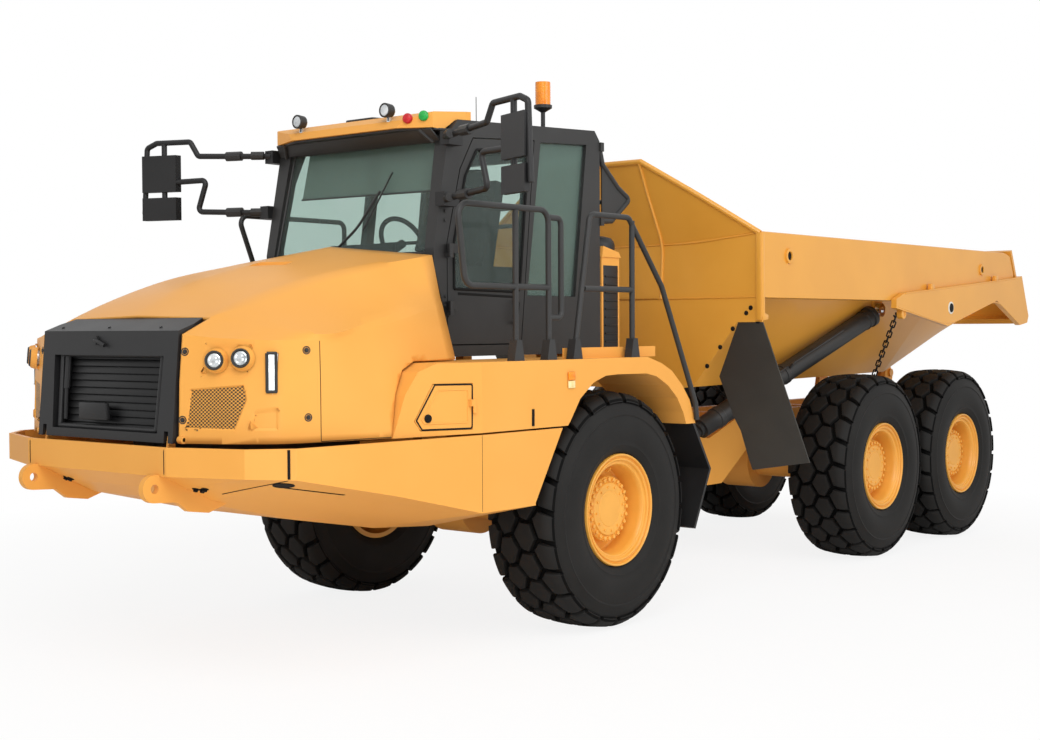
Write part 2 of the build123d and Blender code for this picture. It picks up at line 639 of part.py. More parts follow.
def cab_interior():
    seat = block((-60, 420), (-240, 240), (2330, 2450))
    back = prism([(-60, 2400), (60, 2440), (-120, 3120), (-210, 3100)], -220, 220)
    base = block((20, 340), (-160, 160), (CAB_FLOOR + CAB_WALL + 0.3, 2330))
    console = block((-60, 480), (300, 420), (CAB_FLOOR + CAB_WALL + 0.3, 2480))
    dash = prism([(700, CAB_FLOOR + CAB_WALL + 0.3), (930, CAB_FLOOR + CAB_WALL + 0.3), (1110, 2470),
                  (1060, 2540),
                  (860, 2560)], -560, 560)
    column = rod((900, 0, 2500), (640, 0, 2640), 30)
    wheel = Plane(origin=(640, 0, 2640), z_dir=(-260, 0, 140)) * Torus(190, 17)
    spoke = rod((640, -180, 2640), (640, 180, 2640), 12)
    return [seat + back + base, console, dash + column + spoke + wheel]


RAIL_PLANE_Y = 1400
RAIL_RADIUS = 19
RAIL_END_Y = HALF_WIDTH + RAIL_RADIUS + SEAT_GAP
# Tubes of the left handrail, (x, y, z), each with the radius of its bends
RAIL_TUBES = [
    ([(770, RAIL_PLANE_Y, DECK_Z), (770, RAIL_PLANE_Y, 2790), (1640, RAIL_PLANE_Y, 2790),
      (1572, RAIL_PLANE_Y, 2300), (1110, RAIL_PLANE_Y, 2300)], 80),
    ([(770, RAIL_PLANE_Y, 2745), (640, RAIL_PLANE_Y, 2745), (640, RAIL_PLANE_Y, 2110),
      (770, RAIL_PLANE_Y, 2110)], 40),
    ([(500, RAIL_PLANE_Y, DECK_Z + 40), (330, RAIL_PLANE_Y, 2790), (-110, RAIL_PLANE_Y, 2790),
      (-510, RAIL_PLANE_Y, 2330), (-850, RAIL_END_Y, 1500), (-868, RAIL_END_Y, 1380)], 60),
]
RAIL_POSTS = [((1099, DECK_Z), (1099, 2775)), ((-150, DECK_Z), (-150, 2770)), ((398, 2300), (-150, 2300)),
              ((1099, 2300), (770, 2300))]
RAIL_FEET = [1099, 770, 500, -150]


def right_rail():
    """The rail beside the cab's right window."""
    y = -RAIL_PLANE_Y
    rail = tube([(760, y, DECK_Z), (760, y, 2450), (940, y, 2890), (-150, y, 2890), (-150, y, DECK_Z)],
                RAIL_RADIUS, 60)
    rail += rod((760, y, 2300), (-150, y, 2300), RAIL_RADIUS)
    for x in (760, -150):
        rail += rail_foot(x, y)
    return rail


def rail_foot(x, y):
    return prism([(x - 50, DECK_Z), (x + 50, DECK_Z), (x + 24, DECK_Z + 130), (x - 24, DECK_Z + 130)], y
                 - 30, y + 30)


def handrails():
    """Rails along the left edge of the deck, each tube tied to its posts."""
    y = RAIL_PLANE_Y
    rails = None
    for points, bend in RAIL_TUBES:
        bar = tube(points, RAIL_RADIUS, bend)
        rails = bar if rails is None else rails + bar
    for start, end in RAIL_POSTS:
        rails += rod((start[0], y, start[1]), (end[0], y, end[1]), RAIL_RADIUS)
    for x in RAIL_FEET:
        rails += rail_foot(x, y)
    return rails


MIRROR_TUBES = [
    ([(1110, 830, 3270), (1328, 1370, 3293), (1347, 1435, 3400), (1431, 1714, 3404), (1455, 1794, 3370),
      (1463, 1819, 2892)], 30),
    ([(1120, 830, 2870), (1330, 1376, 2894), (1307, 1303, 3119), (1412, 1651, 3113)], 30),
]


def mirrors():
    """The left mirror bracket with its two mirror heads."""
    bracket = None
    for points, bend in MIRROR_TUBES:
        bar = tube(points, 20, bend)
        bracket = bar if bracket is None else bracket + bar
    for x, z in ((1050, 3265), (1100, 2870)):
        bracket += block((x - 55, x + 75), (CAB_HALF_WIDTH + SEAT_GAP, 880), (z - 45, z + 45))
    bracket += rod((1412, 1651, 3000), (1412, 1651, 3395), 20)
    big = prism([(1350, 1540), (1400, 1540), (1500, 1800), (1450, 1800)], 3045, 3310, "XY")
    small = prism([(1350, 1540), (1400, 1540), (1500, 1800), (1450, 1800)], 2840, 3005, "XY")
    return bracket + big + small


def rear_guard():
    """The black guard behind the cab's rear window: a tube frame on each side, two cross tubes and
    a sheet inside each frame."""
    x, y = CAB_REAR_X, 780
    frame = tube([(x - 20, y, 3360), (x - 60, y, 3235), (x - 250, y, 3080), (x - 400, y, 3000),
                  (x - 170, y, 2830),
                  (x - 20, y, 2820)], 20, 25)
    side = frame + prism([(x - 50, 3225), (x - 248, 3070), (x - 390, 2998), (x - 172, 2838), (x - 50, 2830)],
                         y - 5, y + 5)
    for z in (3360, 2820):
        side += block((x - 40, x - SEAT_GAP), (y - 30, y + 32), (z - 32, z + 32))
    guard = side + mirrored(side)
    for cross_x, cross_z in ((x - 392, 2997), (x - 176, 2838)):
        guard += rod((cross_x, -y, cross_z), (cross_x, y, cross_z), 17)
    return guard


def intake_stack():
    """The air cleaner's housing behind the cab."""
    case = block((-840, -620), (560, 800), (DECK_Z + 20, 2560))
    cap = prism([(-850, 2560), (-612, 2560), (-630, 2640), (-820, 2600)], 550, 810)
    shelf = block((-860, CAB_REAR_X + 100), (420, 860), (DECK_Z - 25, DECK_Z + 20))
    return [case + shelf, cap]


def beacon():
    post = rod((-317, 500, 3460.4), (-317, 500, 3640), 12)
    base = rod((-317, 500, 3640), (-317, 500, 3655), 62)
    lens = rod((-317, 500, 3655.3), (-317, 500, 3825), 55)
    return post + base, lens


# Mudguard behind the front wheel, (x, z)
MUDGUARD = [(-845, 1353), (-872, 1353), (-1090, 1010), (-880, 590), (-860, 600), (-1066, 1010)]


def mudguards():
    guard = prism(MUDGUARD, 900, HALF_WIDTH)
    guard += block((-985, -945), (RAIL_Y + RAIL_WIDTH / 2, 905), (1160, 1215))
    return guard


def hitch():
    """The hitch body: a post on the steering pins and a tube into the rear frame."""
    post = rod((HITCH_X, 0, 768), (HITCH_X, 0, 1232), 150)
    pins = rod((HITCH_X, 0, 680), (HITCH_X, 0, 1320), PIN_RADIUS)
    collar = rod((HITCH_X - 100, 0, HITCH_Z), (HITCH_X - 240, 0, HITCH_Z), 190)
    trunk = rod((HITCH_X, 0, HITCH_Z), (HITCH_X - 640, 0, HITCH_Z), HITCH_TUBE_RADIUS)
    x, y, z = STEER_EYE
    ears = block((HITCH_X - 240, HITCH_X - 110), (-250, 250), (z - 75, z + 75))
    for s in (-1, 1):
        for z0 in (z - 75, z + 35):
            ear = prism([(HITCH_X - 240, 240), (HITCH_X - 110, 240), (x + 50, y), (x - 50, y)], z0, z0
                        + 40, "XY")
            ear += rod((x, y, z0), (x, y, z0 + 40), 50)
            ear -= rod((x, y, z0 - 1), (x, y, z0 + 41), 30)
            ears += ear if s == 1 else mirrored(ear)
    return post + pins + collar + trunk + ears


BALL_RADIUS = 45


def hoist_seat():
    """The left bracket on the frame that holds the ball under the hoist cylinder's foot."""
    x, y, z = HOIST_PIN
    bracket = prism([(x - 110, z - 110), (x + 60, z - 110), (x + 60, z + 50), (x + 20, z + 50),
                     (x - 110, z - 30)],
                    409, y - 72)
    centre, axis = Vector(x, y, z), hoist_axis()
    ball = Plane(origin=centre, z_dir=axis) * Sphere(BALL_RADIUS)
    return bracket + rod(tuple(centre - axis * 125), tuple(centre + axis * 55), 19) + ball


REAR_RAIL_SIDE = [(-1900, 800), (-1900, 1200), (-2700, 1090), (-3300, 1290), (-6050, 1290), (-6050, 1010),
                  (-3400, 1010), (-2900, 690), (-2300, 690)]


def rear_chassis():
    rails = prism(REAR_RAIL_SIDE, 330, 410)
    frame = rails + mirrored(rails)
    front = HITCH_X - 240 - MOVING_GAP
    nose = prism([(front, -180), (front, 180), (front - 102, 330), (HITCH_X - 620, 330),
                  (HITCH_X - 620, -330),
                  (front - 102, -330)], 780, 1220, "XY")
    nose -= rod((HITCH_X - 200, 0, HITCH_Z), (HITCH_X - 700, 0, HITCH_Z), HITCH_TUBE_RADIUS + 1)
    frame += nose
    frame += block((-3300, -3200), (-330, 330), (1010, 1280))
    frame += block((-4900, -4780), (-330, 330), (1010, 1280))
    frame += block((-6050, -5950), (-330, 330), (1010, 1280))
    for s in (-1, 1):
        ear = prism([(DUMP_HINGE_X + 200, 1180), (DUMP_HINGE_X + 90, DUMP_HINGE_Z + 20),
                     (DUMP_HINGE_X, DUMP_HINGE_Z + 90),
                     (DUMP_HINGE_X - 80, DUMP_HINGE_Z), (DUMP_HINGE_X, 1180)], 345, 395)
        ear -= rod((DUMP_HINGE_X, 340, DUMP_HINGE_Z), (DUMP_HINGE_X, 400, DUMP_HINGE_Z), 40.3)
        frame += ear if s == 1 else mirrored(ear)
        hoist = hoist_seat()
        frame += hoist if s == 1 else mirrored(hoist)
        x, y, z = CHAIN_ANCHOR
        anchor = block((x - 50, x + 50), (409, y - 30), (z - 40, z + 40)) + rod((x, y - 40, z),
                                                                                (x, y + 40, z), 20)
        frame += anchor if s == 1 else mirrored(anchor)
    return frame


def bogie():
    """Both rear axles, the beams that share the load between them and the beams' pivot."""
    mid, rear = AXLE_X["mid"], AXLE_X["rear"]
    centre = (mid + rear) / 2
    shape = axle(mid) + axle(rear)
    beam = prism([(mid + 130, 850), (mid + 100, 1000), (centre, 1045), (rear - 100, 1000), (rear - 130, 850),
                  (centre, 900)], 560, 640)
    beam += rod((centre, 410 + SEAT_GAP, 985), (centre, 640, 985), 55)
    pad = block((mid - 80, mid + 80), (335, 405), (TYRE_RADIUS, 1010 - SEAT_GAP))
    pad += block((rear - 80, rear + 80), (335, 405), (TYRE_RADIUS, 1010 - SEAT_GAP))
    return shape + beam + mirrored(beam) + pad + mirrored(pad)


def body_section(inset, x, lift, extra=0):
    """Outline of the load space across the truck, (y, z)."""
    floor = FLOOR_Z + lift + inset
    low_y, side_y = FLOOR_HALF_WIDTH - inset * 0.6, RAIL_INNER_Y - inset * 0.9
    half = [(low_y, floor), (side_y, RAIL_BOTTOM + extra)]
    return face(half + [(-y, z) for y, z in reversed(half)], "YZ", x)


def dump_body():
    """The load space, its side rails, its front wall and its rising tail."""
    p = BODY_PLATE
    knee, end = -5600, -6980
    outer = loft([body_section(0, BODY_FRONT_X, 0), body_section(0, knee, 40), body_section(0, end, 440)],
                 ruled=True)
    inner = loft([body_section(p, BODY_FRONT_X - p, 0, 1), body_section(p, knee, 40, 1),
                  body_section(p, end - 0.1, 440 + 2, 1)], ruled=True)
    tub = outer - inner
    # The rear end of the sides leans forward at the top
    tub -= prism([(end - 100, 1990), (end + 10, 1990), (BODY_RAIL_END_X + 60, RAIL_TOP + 10),
                  (end - 100, RAIL_TOP + 10)],
                 -1500, 1500)
    rail = prism([(BODY_FRONT_X, RAIL_TOP), (BODY_RAIL_END_X + 110, RAIL_TOP),
                  (BODY_RAIL_END_X, RAIL_TOP - 30),
                  (BODY_RAIL_END_X - 90, 2570), (BODY_RAIL_END_X - 90, RAIL_BOTTOM),
                  (BODY_FRONT_X, RAIL_BOTTOM)],
                 RAIL_INNER_Y - p, RAIL_OUTER_Y)
    lip_y = RAIL_OUTER_Y - RAIL_WALL
    rail -= prism([(RAIL_INNER_Y - p - 1, RAIL_BOTTOM - 1), (RAIL_INNER_Y - p - 1, RAIL_TOP + 1),
                   (lip_y, RAIL_TOP + 1),
                   (lip_y, RAIL_TOP - 130), (RAIL_INNER_Y - p, RAIL_BOTTOM + 20)],
                  BODY_RAIL_END_X - 200, BODY_FRONT_X + 1, "YZ")
    # Front wall: flat below, leaning forward above, with sloping top edges
    wall_low = prism([(-1430, 2271), (-1430, 2080), (-1210, 2080), (-810, 1580), (810, 1580), (1210, 2080),
                      (1430, 2080), (1430, 2271), (1430, RAIL_TOP), (-1430, RAIL_TOP)],
                     BODY_FRONT_X - p, BODY_FRONT_X, "YZ")
    top_x, top_z = -1600, 3370
    lean = slab([(BODY_FRONT_X, -460, 2700), (BODY_FRONT_X, 460, 2700), (top_x, 460, top_z),
                 (top_x, -460, top_z)],
                (-p, 0, 0))
    ear = slab([(BODY_FRONT_X, 459, 2700), (top_x, 459, top_z), (BODY_FRONT_X, 1430, RAIL_TOP)], (-p, 0, 0))
    body = tub + rail + mirrored(rail) + wall_low + lean + ear + mirrored(ear)
    # Hinge ears, hoist ears and the bearers under the floor
    for s in (-1, 1):
        ear = prism([(DUMP_HINGE_X - 60, DUMP_HINGE_Z - 50), (DUMP_HINGE_X + 60, DUMP_HINGE_Z - 50),
                     (DUMP_HINGE_X + 160, 1800), (DUMP_HINGE_X - 160, 1830)], 290, 338)
        ear += rod((DUMP_HINGE_X, 290, DUMP_HINGE_Z), (DUMP_HINGE_X, 420, DUMP_HINGE_Z), 40)
        body += ear if s == 1 else mirrored(ear)
        x, y, z = HOIST_EYE
        outer = y - HOIST_EYE_WIDTH / 2 - SEAT_GAP
        lug = prism([(x - 40, z), (x - 120, RAIL_BOTTOM + 1), (x + 55, RAIL_BOTTOM + 1), (x + 40, z)],
                    outer - 30, outer)
        lug += rod((x, outer - 30, z), (x, outer, z), 40)
        body += lug if s == 1 else mirrored(lug)
    pivot = rod((GATE_PIVOT_X, RAIL_INNER_Y + 60, GATE_PIVOT_Z),
                (GATE_PIVOT_X, GATE_ARM_Y + GATE_ARM_THICKNESS + 12,
                                                             GATE_PIVOT_Z), 40)
    boss = prism([(GATE_PIVOT_X - 90, RAIL_BOTTOM + 1), (GATE_PIVOT_X + 90, RAIL_BOTTOM + 1),
                  (GATE_PIVOT_X + 50, GATE_PIVOT_Z - 60), (GATE_PIVOT_X - 50, GATE_PIVOT_Z - 60)], 1180, 1425)
    return body + pivot + boss + mirrored(pivot + boss)


FLAP_INNER_Z = 846


def body_flaps():
    """Rubber flaps in front of the mid wheels, hung from the body's front wall."""
    top_x, low_x = BODY_FRONT_X - BODY_PLATE - 0.3, -2600
    inner_x = low_x + (low_x - top_x) * (940 - FLAP_INNER_Z) / (2079 - 940)
    flap = slab([(top_x, 1425, 2079), (low_x, 1425, 940), (inner_x, 860, FLAP_INNER_Z), (top_x, 860, 2079)],
                (-12, 0, 0))
    trim = prism([(1209, 2081), (809, 1581), (880, 1190), (850, 800), (500, 800), (500, 2081)], -3000,
                 -1700, "YZ")
    flap = flap - trim
    return pair(flap)


GATE_SIDE = [(-4060, 2280), (-4229, 2335), (-6818, 2524), (-6980, 2548), (TAIL_TIP, 2140), (-7130, 2070),
             (-6931, 2045),
             (-6323, 2290), (-5160, 2040), (-4060, 2200)]


def tailgate():
    """The tailgate: outboard arms and a leaning panel behind the body's tail."""
    arm = prism(GATE_SIDE, GATE_ARM_Y, GATE_ARM_Y + GATE_ARM_THICKNESS)
    arm -= rod((GATE_PIVOT_X, GATE_ARM_Y - 1, GATE_PIVOT_Z), (GATE_PIVOT_X, GATE_ARM_Y + 60, GATE_PIVOT_Z),
               40.3)
    x, y, z = CHAIN_LUG
    arm += rod((x, y + 26, z), (x, GATE_ARM_Y + 5, z), 20)
    arm += block((x - 40, x + 40), (GATE_ARM_Y, GATE_ARM_Y + 30), (z - 30, 2260))
    outer = GATE_ARM_Y + 1
    panel = prism([(-7160, 2140), (-6830, 2810), (-6795, 2795), (-6950, 2480), (-7125, 2125)], -outer, outer)
    lip = prism([(-7150, 2110), (-7120, 2145), (-7010, 2110), (-7040, 2060)], -outer, outer)
    return arm + mirrored(arm) + panel + lip


def link(centre, along, across, half):
    """One chain link of flat faces: a six-cornered loop of square bar."""
    normal, b = along.cross(across), LINK_BAR / 2
    shoulder = half - LINK_HALF_WIDTH / math.tan(math.radians(LINK_POINT))
    right = [(half, 0), (shoulder, LINK_HALF_WIDTH), (-shoulder, LINK_HALF_WIDTH)]
    corners = [Vector(u, v, 0) for u, v in right] + [Vector(-u, -v, 0) for u, v in right]
    rings = []
    for i, corner in enumerate(corners):
        coming = (corner - corners[i - 1]).normalized()
        going = (corners[(i + 1) % 6] - corner).normalized()
        outward = (coming - going).normalized()
        reach = outward * (b / coming.cross(outward).length)
        rings.append([centre + along * (corner.X + side * reach.X) + across * (corner.Y + side * reach.Y)
                      + normal * (lift * b) for side, lift in ((-1, -1), (1, -1), (1, 1), (-1, 1))])
    return skin(rings, capped=False)


def chain():
    """Chains that hold the tailgate's arms down, from the lug to the frame: an eye round the
    anchor's pin and loops of bar, each turned by a quarter from the last."""
    d, length = aim(CHAIN_ANCHOR, CHAIN_LUG)
    side = d.cross(Vector(0, 1, 0)).normalized()
    touch = LINK_BAR / math.sin(math.radians(LINK_POINT)) + SEAT_GAP
    start = CHAIN_EYE_RADIUS + touch / 2
    pitch = (length - start - CHAIN_TOP_GAP - touch) / CHAIN_LINKS
    half = (pitch + touch) / 2
    solids = []
    for i in range(CHAIN_LINKS):
        centre = Vector(*CHAIN_ANCHOR) + d * (start + half + i * pitch)
        across = side if i % 2 else d.cross(side)
        solids.append(link(centre, d, across, half))
    x, y, z = CHAIN_ANCHOR
    corners = ring([(i * 45, CHAIN_EYE_RADIUS) for i in range(8)], 0)
    width = CHAIN_EYE_RADIUS * d.Y - SEAT_GAP / 2
    eye = prism([(x + v.X, z + v.Z) for v in corners], y - width, y + width)
    eye -= rod((x, y - width - 1, z), (x, y + width + 1, z), 20 + SEAT_GAP)
    return pair(Compound(solids + eye.solids()))


def aim(start, end):
    """Direction from one pin to another."""
    line = Vector(*end) - Vector(*start)
    return line.normalized(), line.length


def cylinder(pin, eye, radii, reach):
    """A barrel without its foot, and a rod without its eye. reach is measured from the barrel's pin:
    where the bore starts, where the barrel ends and where the rod starts and ends at rest."""
    d, length = aim(pin, eye)
    at = lambda distance: tuple(Vector(*pin) + d * distance)
    barrel_radius, rod_radius = radii
    bore_start, barrel_end, rod_start, short = reach
    barrel = rod(at(bore_start - 40), at(barrel_end), barrel_radius)
    barrel -= rod(at(bore_start), at(barrel_end + 1), rod_radius + SEAT_GAP)
    return barrel, rod(at(rod_start), at(length - short), rod_radius)


def disc(centre, axis, radius, width):
    """A round plate across an axis, centred on a point."""
    axis = Vector(*axis).normalized()
    start = Vector(*centre) - axis * (width / 2)
    return extrude(Plane(origin=start, z_dir=axis) * Circle(radius), amount=width)


def hoist_axis():
    """The axis that the hoist cylinder turns about, across its directions at rest and at full tip."""
    turn = math.radians(DUMP_ANGLE)
    x, y, z = HOIST_EYE
    dx, dz = x - DUMP_HINGE_X, z - DUMP_HINGE_Z
    tipped = (DUMP_HINGE_X + dx * math.cos(turn) - dz * math.sin(turn), y,
              DUMP_HINGE_Z + dx * math.sin(turn) + dz * math.cos(turn))
    return aim(HOIST_PIN, HOIST_EYE)[0].cross(aim(HOIST_PIN, tipped)[0]).normalized()


def hoist_cylinder():
    d, length = aim(HOIST_PIN, HOIST_EYE)
    barrel, stem = cylinder(HOIST_PIN, HOIST_EYE, (HOIST_BARREL_RADIUS, HOIST_ROD_RADIUS),
                            (130, 2400, 260, 80))
    across = hoist_axis()
    foot = disc(HOIST_PIN, across, 64, 56) + rod(tuple(Vector(*HOIST_PIN) + d * 55),
                                                 tuple(Vector(*HOIST_PIN) + d * 95), 60)
    foot -= Plane(origin=HOIST_PIN, z_dir=across) * Sphere(BALL_RADIUS + SEAT_GAP)
    ball = Pos(*HOIST_EYE) * Sphere(HOIST_EYE_WIDTH / 2)
    eye = disc(HOIST_EYE, (0, 1, 0), 62, HOIST_EYE_WIDTH - 26) + ball
    neck = rod(tuple(Vector(*HOIST_EYE) - d * 100), tuple(Vector(*HOIST_EYE) - d * 20), 25)
    return barrel + foot, stem + eye + neck


def steering_cylinder():
    barrel, stem = cylinder(STEER_PIN, STEER_EYE, (STEER_BARREL_RADIUS, STEER_ROD_RADIUS), (80, 800, 412, 30))
    foot = disc(STEER_PIN, (0, 0, 1), 50, 110) - disc(STEER_PIN, (0, 0, 1), 30 + SEAT_GAP, 111)
    return barrel + foot, stem + disc(STEER_EYE, (0, 0, 1), 42, 60)


def cylinders():
    for name, make in (("hoist", hoist_cylinder), ("steer", steering_cylinder)):
        barrel, stem = make()
        save(f"{name}_barrel_left", barrel)
        save(f"{name}_barrel_right", mirrored(barrel))
        save(f"{name}_rod_left", stem)
        save(f"{name}_rod_right", mirrored(stem))


def build():
    save("front_chassis", front_chassis())
    save("front_axle", front_axle())
    save("engine_block", block((1450, 2650), (-380, 380), (1240 + SEAT_GAP, 1950)))
    save("bumper_skirts", bumper())
    save("fenders", fenders())
    save("locker_door", locker_door())
    save("hood_shell", hood())
    save("headlamps", headlamps())
    save("grille_frame", grille_frame())
    save("grille_panel", grille_panel())
    save("cab_shell", cab_shell())
    save("cab_glass", cab_glass())
    cap, lamps = roof_cap()
    save("roof_cap", cap)
    save("roof_lamps", *lamps)
    save("cab_door", door())
    save("cab_door_glass", door_glass())
    save("cab_interior", *cab_interior())
    save("handrails", handrails(), right_rail())
    save("mirrors", pair(mirrors()))
    save("rear_guard", rear_guard())
    save("intake_stack", *intake_stack())
    post, lens = beacon()
    save("beacon", post, lens)
    save("mudguards", pair(mudguards()))
    save("hitch", hitch())
    save("rear_chassis", rear_chassis())
    save("bogie_axles", bogie())
    save("dump_body", dump_body())
    save("body_flaps", body_flaps())
    save("tailgate", tailgate())
    save("tailgate_chains", chain())
    cylinders()


wheels()
build()
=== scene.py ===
import json
import math

import bmesh
import bpy
from mathutils import Matrix, Vector
from mathutils.bvhtree import BVHTree


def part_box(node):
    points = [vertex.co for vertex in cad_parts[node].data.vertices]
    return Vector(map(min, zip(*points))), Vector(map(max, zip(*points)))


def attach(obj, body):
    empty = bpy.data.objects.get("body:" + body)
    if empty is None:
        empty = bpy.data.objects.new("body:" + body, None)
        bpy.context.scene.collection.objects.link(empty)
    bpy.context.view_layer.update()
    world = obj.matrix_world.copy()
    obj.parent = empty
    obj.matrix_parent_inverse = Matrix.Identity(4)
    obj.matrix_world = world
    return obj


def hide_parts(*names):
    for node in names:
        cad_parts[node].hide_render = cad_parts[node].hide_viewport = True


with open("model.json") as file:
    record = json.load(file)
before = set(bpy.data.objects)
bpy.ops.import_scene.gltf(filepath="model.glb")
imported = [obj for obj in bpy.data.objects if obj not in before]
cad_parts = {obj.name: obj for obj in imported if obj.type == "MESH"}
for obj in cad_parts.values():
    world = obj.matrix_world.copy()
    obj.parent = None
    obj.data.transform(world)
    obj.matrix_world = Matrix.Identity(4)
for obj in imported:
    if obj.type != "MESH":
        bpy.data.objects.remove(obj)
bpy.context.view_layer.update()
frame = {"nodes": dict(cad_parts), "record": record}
nodes = frame["nodes"]

# ----------------------------------------------------------
# Hood.
# One moulded sheet that tilts forward: a wall that curves round each front corner, a crease, and
# a top that rises to the cab. Sprayed with the truck's warm yellow powder coat.

FRONT_AXLE = 1.9285


def mm(x, y, z):
    """A point measured in millimetres from the front axle, as in the part's source."""
    return Vector((x / 1000 + FRONT_AXLE, y / 1000, z / 1000))


def in_place(points):
    """Points as vectors in metres: a tuple is in drawn millimetres."""
    return [point if isinstance(point, Vector) else mm(*point) for point in points]


def linear(hex_colour):
    """An sRGB hex colour as the linear values that a shader works in."""
    channels = [int(hex_colour[i:i + 2], 16) / 255 for i in (1, 3, 5)]
    return [c / 12.92 if c <= 0.04045 else ((c + 0.055) / 1.055) ** 2.4 for c in channels] + [1.0]


def add(tree, kind, links=(), **settings):
    """A shader node with its settings, inputs set by name, and links as (input, other node, output)."""
    made = tree.nodes.new(kind)
    for name, value in settings.items():
        if name in made.bl_rna.properties:
            setattr(made, name, value)
        else:
            made.inputs[name.replace("_", " ")].default_value = value
    for into, other, output in links:
        tree.links.new(other.outputs[output], made.inputs[into])
    return made


def begin(name):
    """A new material, its node tree, its shader and the object's own coordinates."""
    made = bpy.data.materials.new(name)
    made.use_nodes = True
    tree = made.node_tree
    return made, tree, tree.nodes["Principled BSDF"], add(tree, "ShaderNodeTexCoord")


def finish(name, light, dark, patch, grain, depth, rough, metal=0.0, coat=0.0, spec=0.5):
    """A finish that drifts between two colours over patches, and has a fine surface grain.
    patch and grain are sizes in metres, depth the height of the grain, rough a range."""
    made, tree, shader, place = begin(name)
    patches = add(tree, "ShaderNodeTexNoise", [("Vector", place, "Object")], Scale=1 / patch, Detail=3.0)
    ramp = add(tree, "ShaderNodeValToRGB", [("Fac", patches, "Fac")])
    ramp.color_ramp.elements[0].position = 0.35
    ramp.color_ramp.elements[0].color = linear(dark)
    ramp.color_ramp.elements[1].position = 0.65
    ramp.color_ramp.elements[1].color = linear(light)
    sheen = add(tree, "ShaderNodeMapRange", [("Value", patches, "Fac")], To_Min=rough[0], To_Max=rough[1])
    fine = add(tree, "ShaderNodeTexNoise", [("Vector", place, "Object")], Scale=1 / grain, Detail=2.0)
    relief = add(tree, "ShaderNodeBump", [("Height", fine, "Fac")], Strength=0.6, Distance=depth)
    tree.links.new(ramp.outputs["Color"], shader.inputs["Base Color"])
    tree.links.new(sheen.outputs["Result"], shader.inputs["Roughness"])
    tree.links.new(relief.outputs["Normal"], shader.inputs["Normal"])
    shader.inputs["Metallic"].default_value = metal
    shader.inputs["Coat Weight"].default_value = coat
    shader.inputs["Specular IOR Level"].default_value = spec
    return made


def wear(piece, *materials):
    """Give a piece these materials, in the order of its faces' numbers, in place of those it has."""
    slots = piece.data.materials
    for i, material in enumerate(materials):
        if i < len(slots):
            slots[i] = material
        else:
            slots.append(material)
    return piece


def smooth(piece, angle):
    """Shade a piece smooth, but keep the edges sharper than the angle, in degrees."""
    piece.data.shade_smooth()
    piece.data.set_sharp_from_angle(angle=math.radians(angle))
    return piece


def face_out(mesh):
    """Turn the faces of closed shapes outwards."""
    bmesh.ops.recalc_face_normals(mesh, faces=mesh.faces[:])


def as_mesh(name, shape):
    """The mesh of a bmesh that is done with."""
    data = bpy.data.meshes.new(name)
    shape.to_mesh(data)
    shape.free()
    return data


def placed(name, data):
    """A new object in the scene."""
    made = bpy.data.objects.new(name, data)
    bpy.context.scene.collection.objects.link(made)
    return made


def show(name, shape, body, slot, *materials):
    """A new piece from a mesh, or from a bmesh of closed shapes that is done with, in place."""
    if isinstance(shape, bmesh.types.BMesh):
        face_out(shape)
        shape = as_mesh(name, shape)
    piece = placed(name, shape)
    wear(piece, *materials)
    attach(piece, body)
    return smooth(piece, 30)


def along(points, share):
    """The point at a share of the way along a smooth line through the given points."""
    place = share * (len(points) - 1)
    k = min(int(place), len(points) - 2)
    t = place - k
    a, b, c, d = (Vector(points[min(max(i, 0), len(points) - 1)]) for i in (k - 1, k, k + 1, k + 2))
    before, span, after = (b - a).length, (c - b).length, (d - c).length
    # The slope at each end of the span, weighed by the lengths on both sides of that end
    start = ((b - a) / before * span + (c - b) / span * before) / (span + before) * span if before else c - b
    stop = ((c - b) / span * after + (d - c) / after * span) / (span + after) * span if after else c - b
    return (b * (2 * t ** 3 - 3 * t * t + 1) + start * (t ** 3 - 2 * t * t + t) + c * (3 * t * t - 2 * t ** 3)
            + stop * (t ** 3 - t * t))


def cut_out(mesh, faces, corners, push):
    """Cut a convex outline into a skin with planes that hold the push direction. The faces inside
    it are returned."""
    middle = sum(corners, Vector()) / len(corners)
    planes = []
    for a, b in zip(corners, corners[1:] + corners[:1]):
        normal = (b - a).cross(push).normalized()
        planes.append((a, normal if normal.dot(middle - a) < 0 else -normal))
    for at, normal in planes:
        reach = set(faces)
        parts = list(reach | {e for f in reach for e in f.edges} | {v for f in reach for v in f.verts})
        made = bmesh.ops.bisect_plane(mesh, geom=parts, plane_co=at, plane_no=normal, dist=1e-5)["geom"]
        faces = [g for g in made if isinstance(g, bmesh.types.BMFace)]
    return [f for f in faces if all((f.calc_center_median() - at).dot(normal) < 0 for at, normal in planes)]


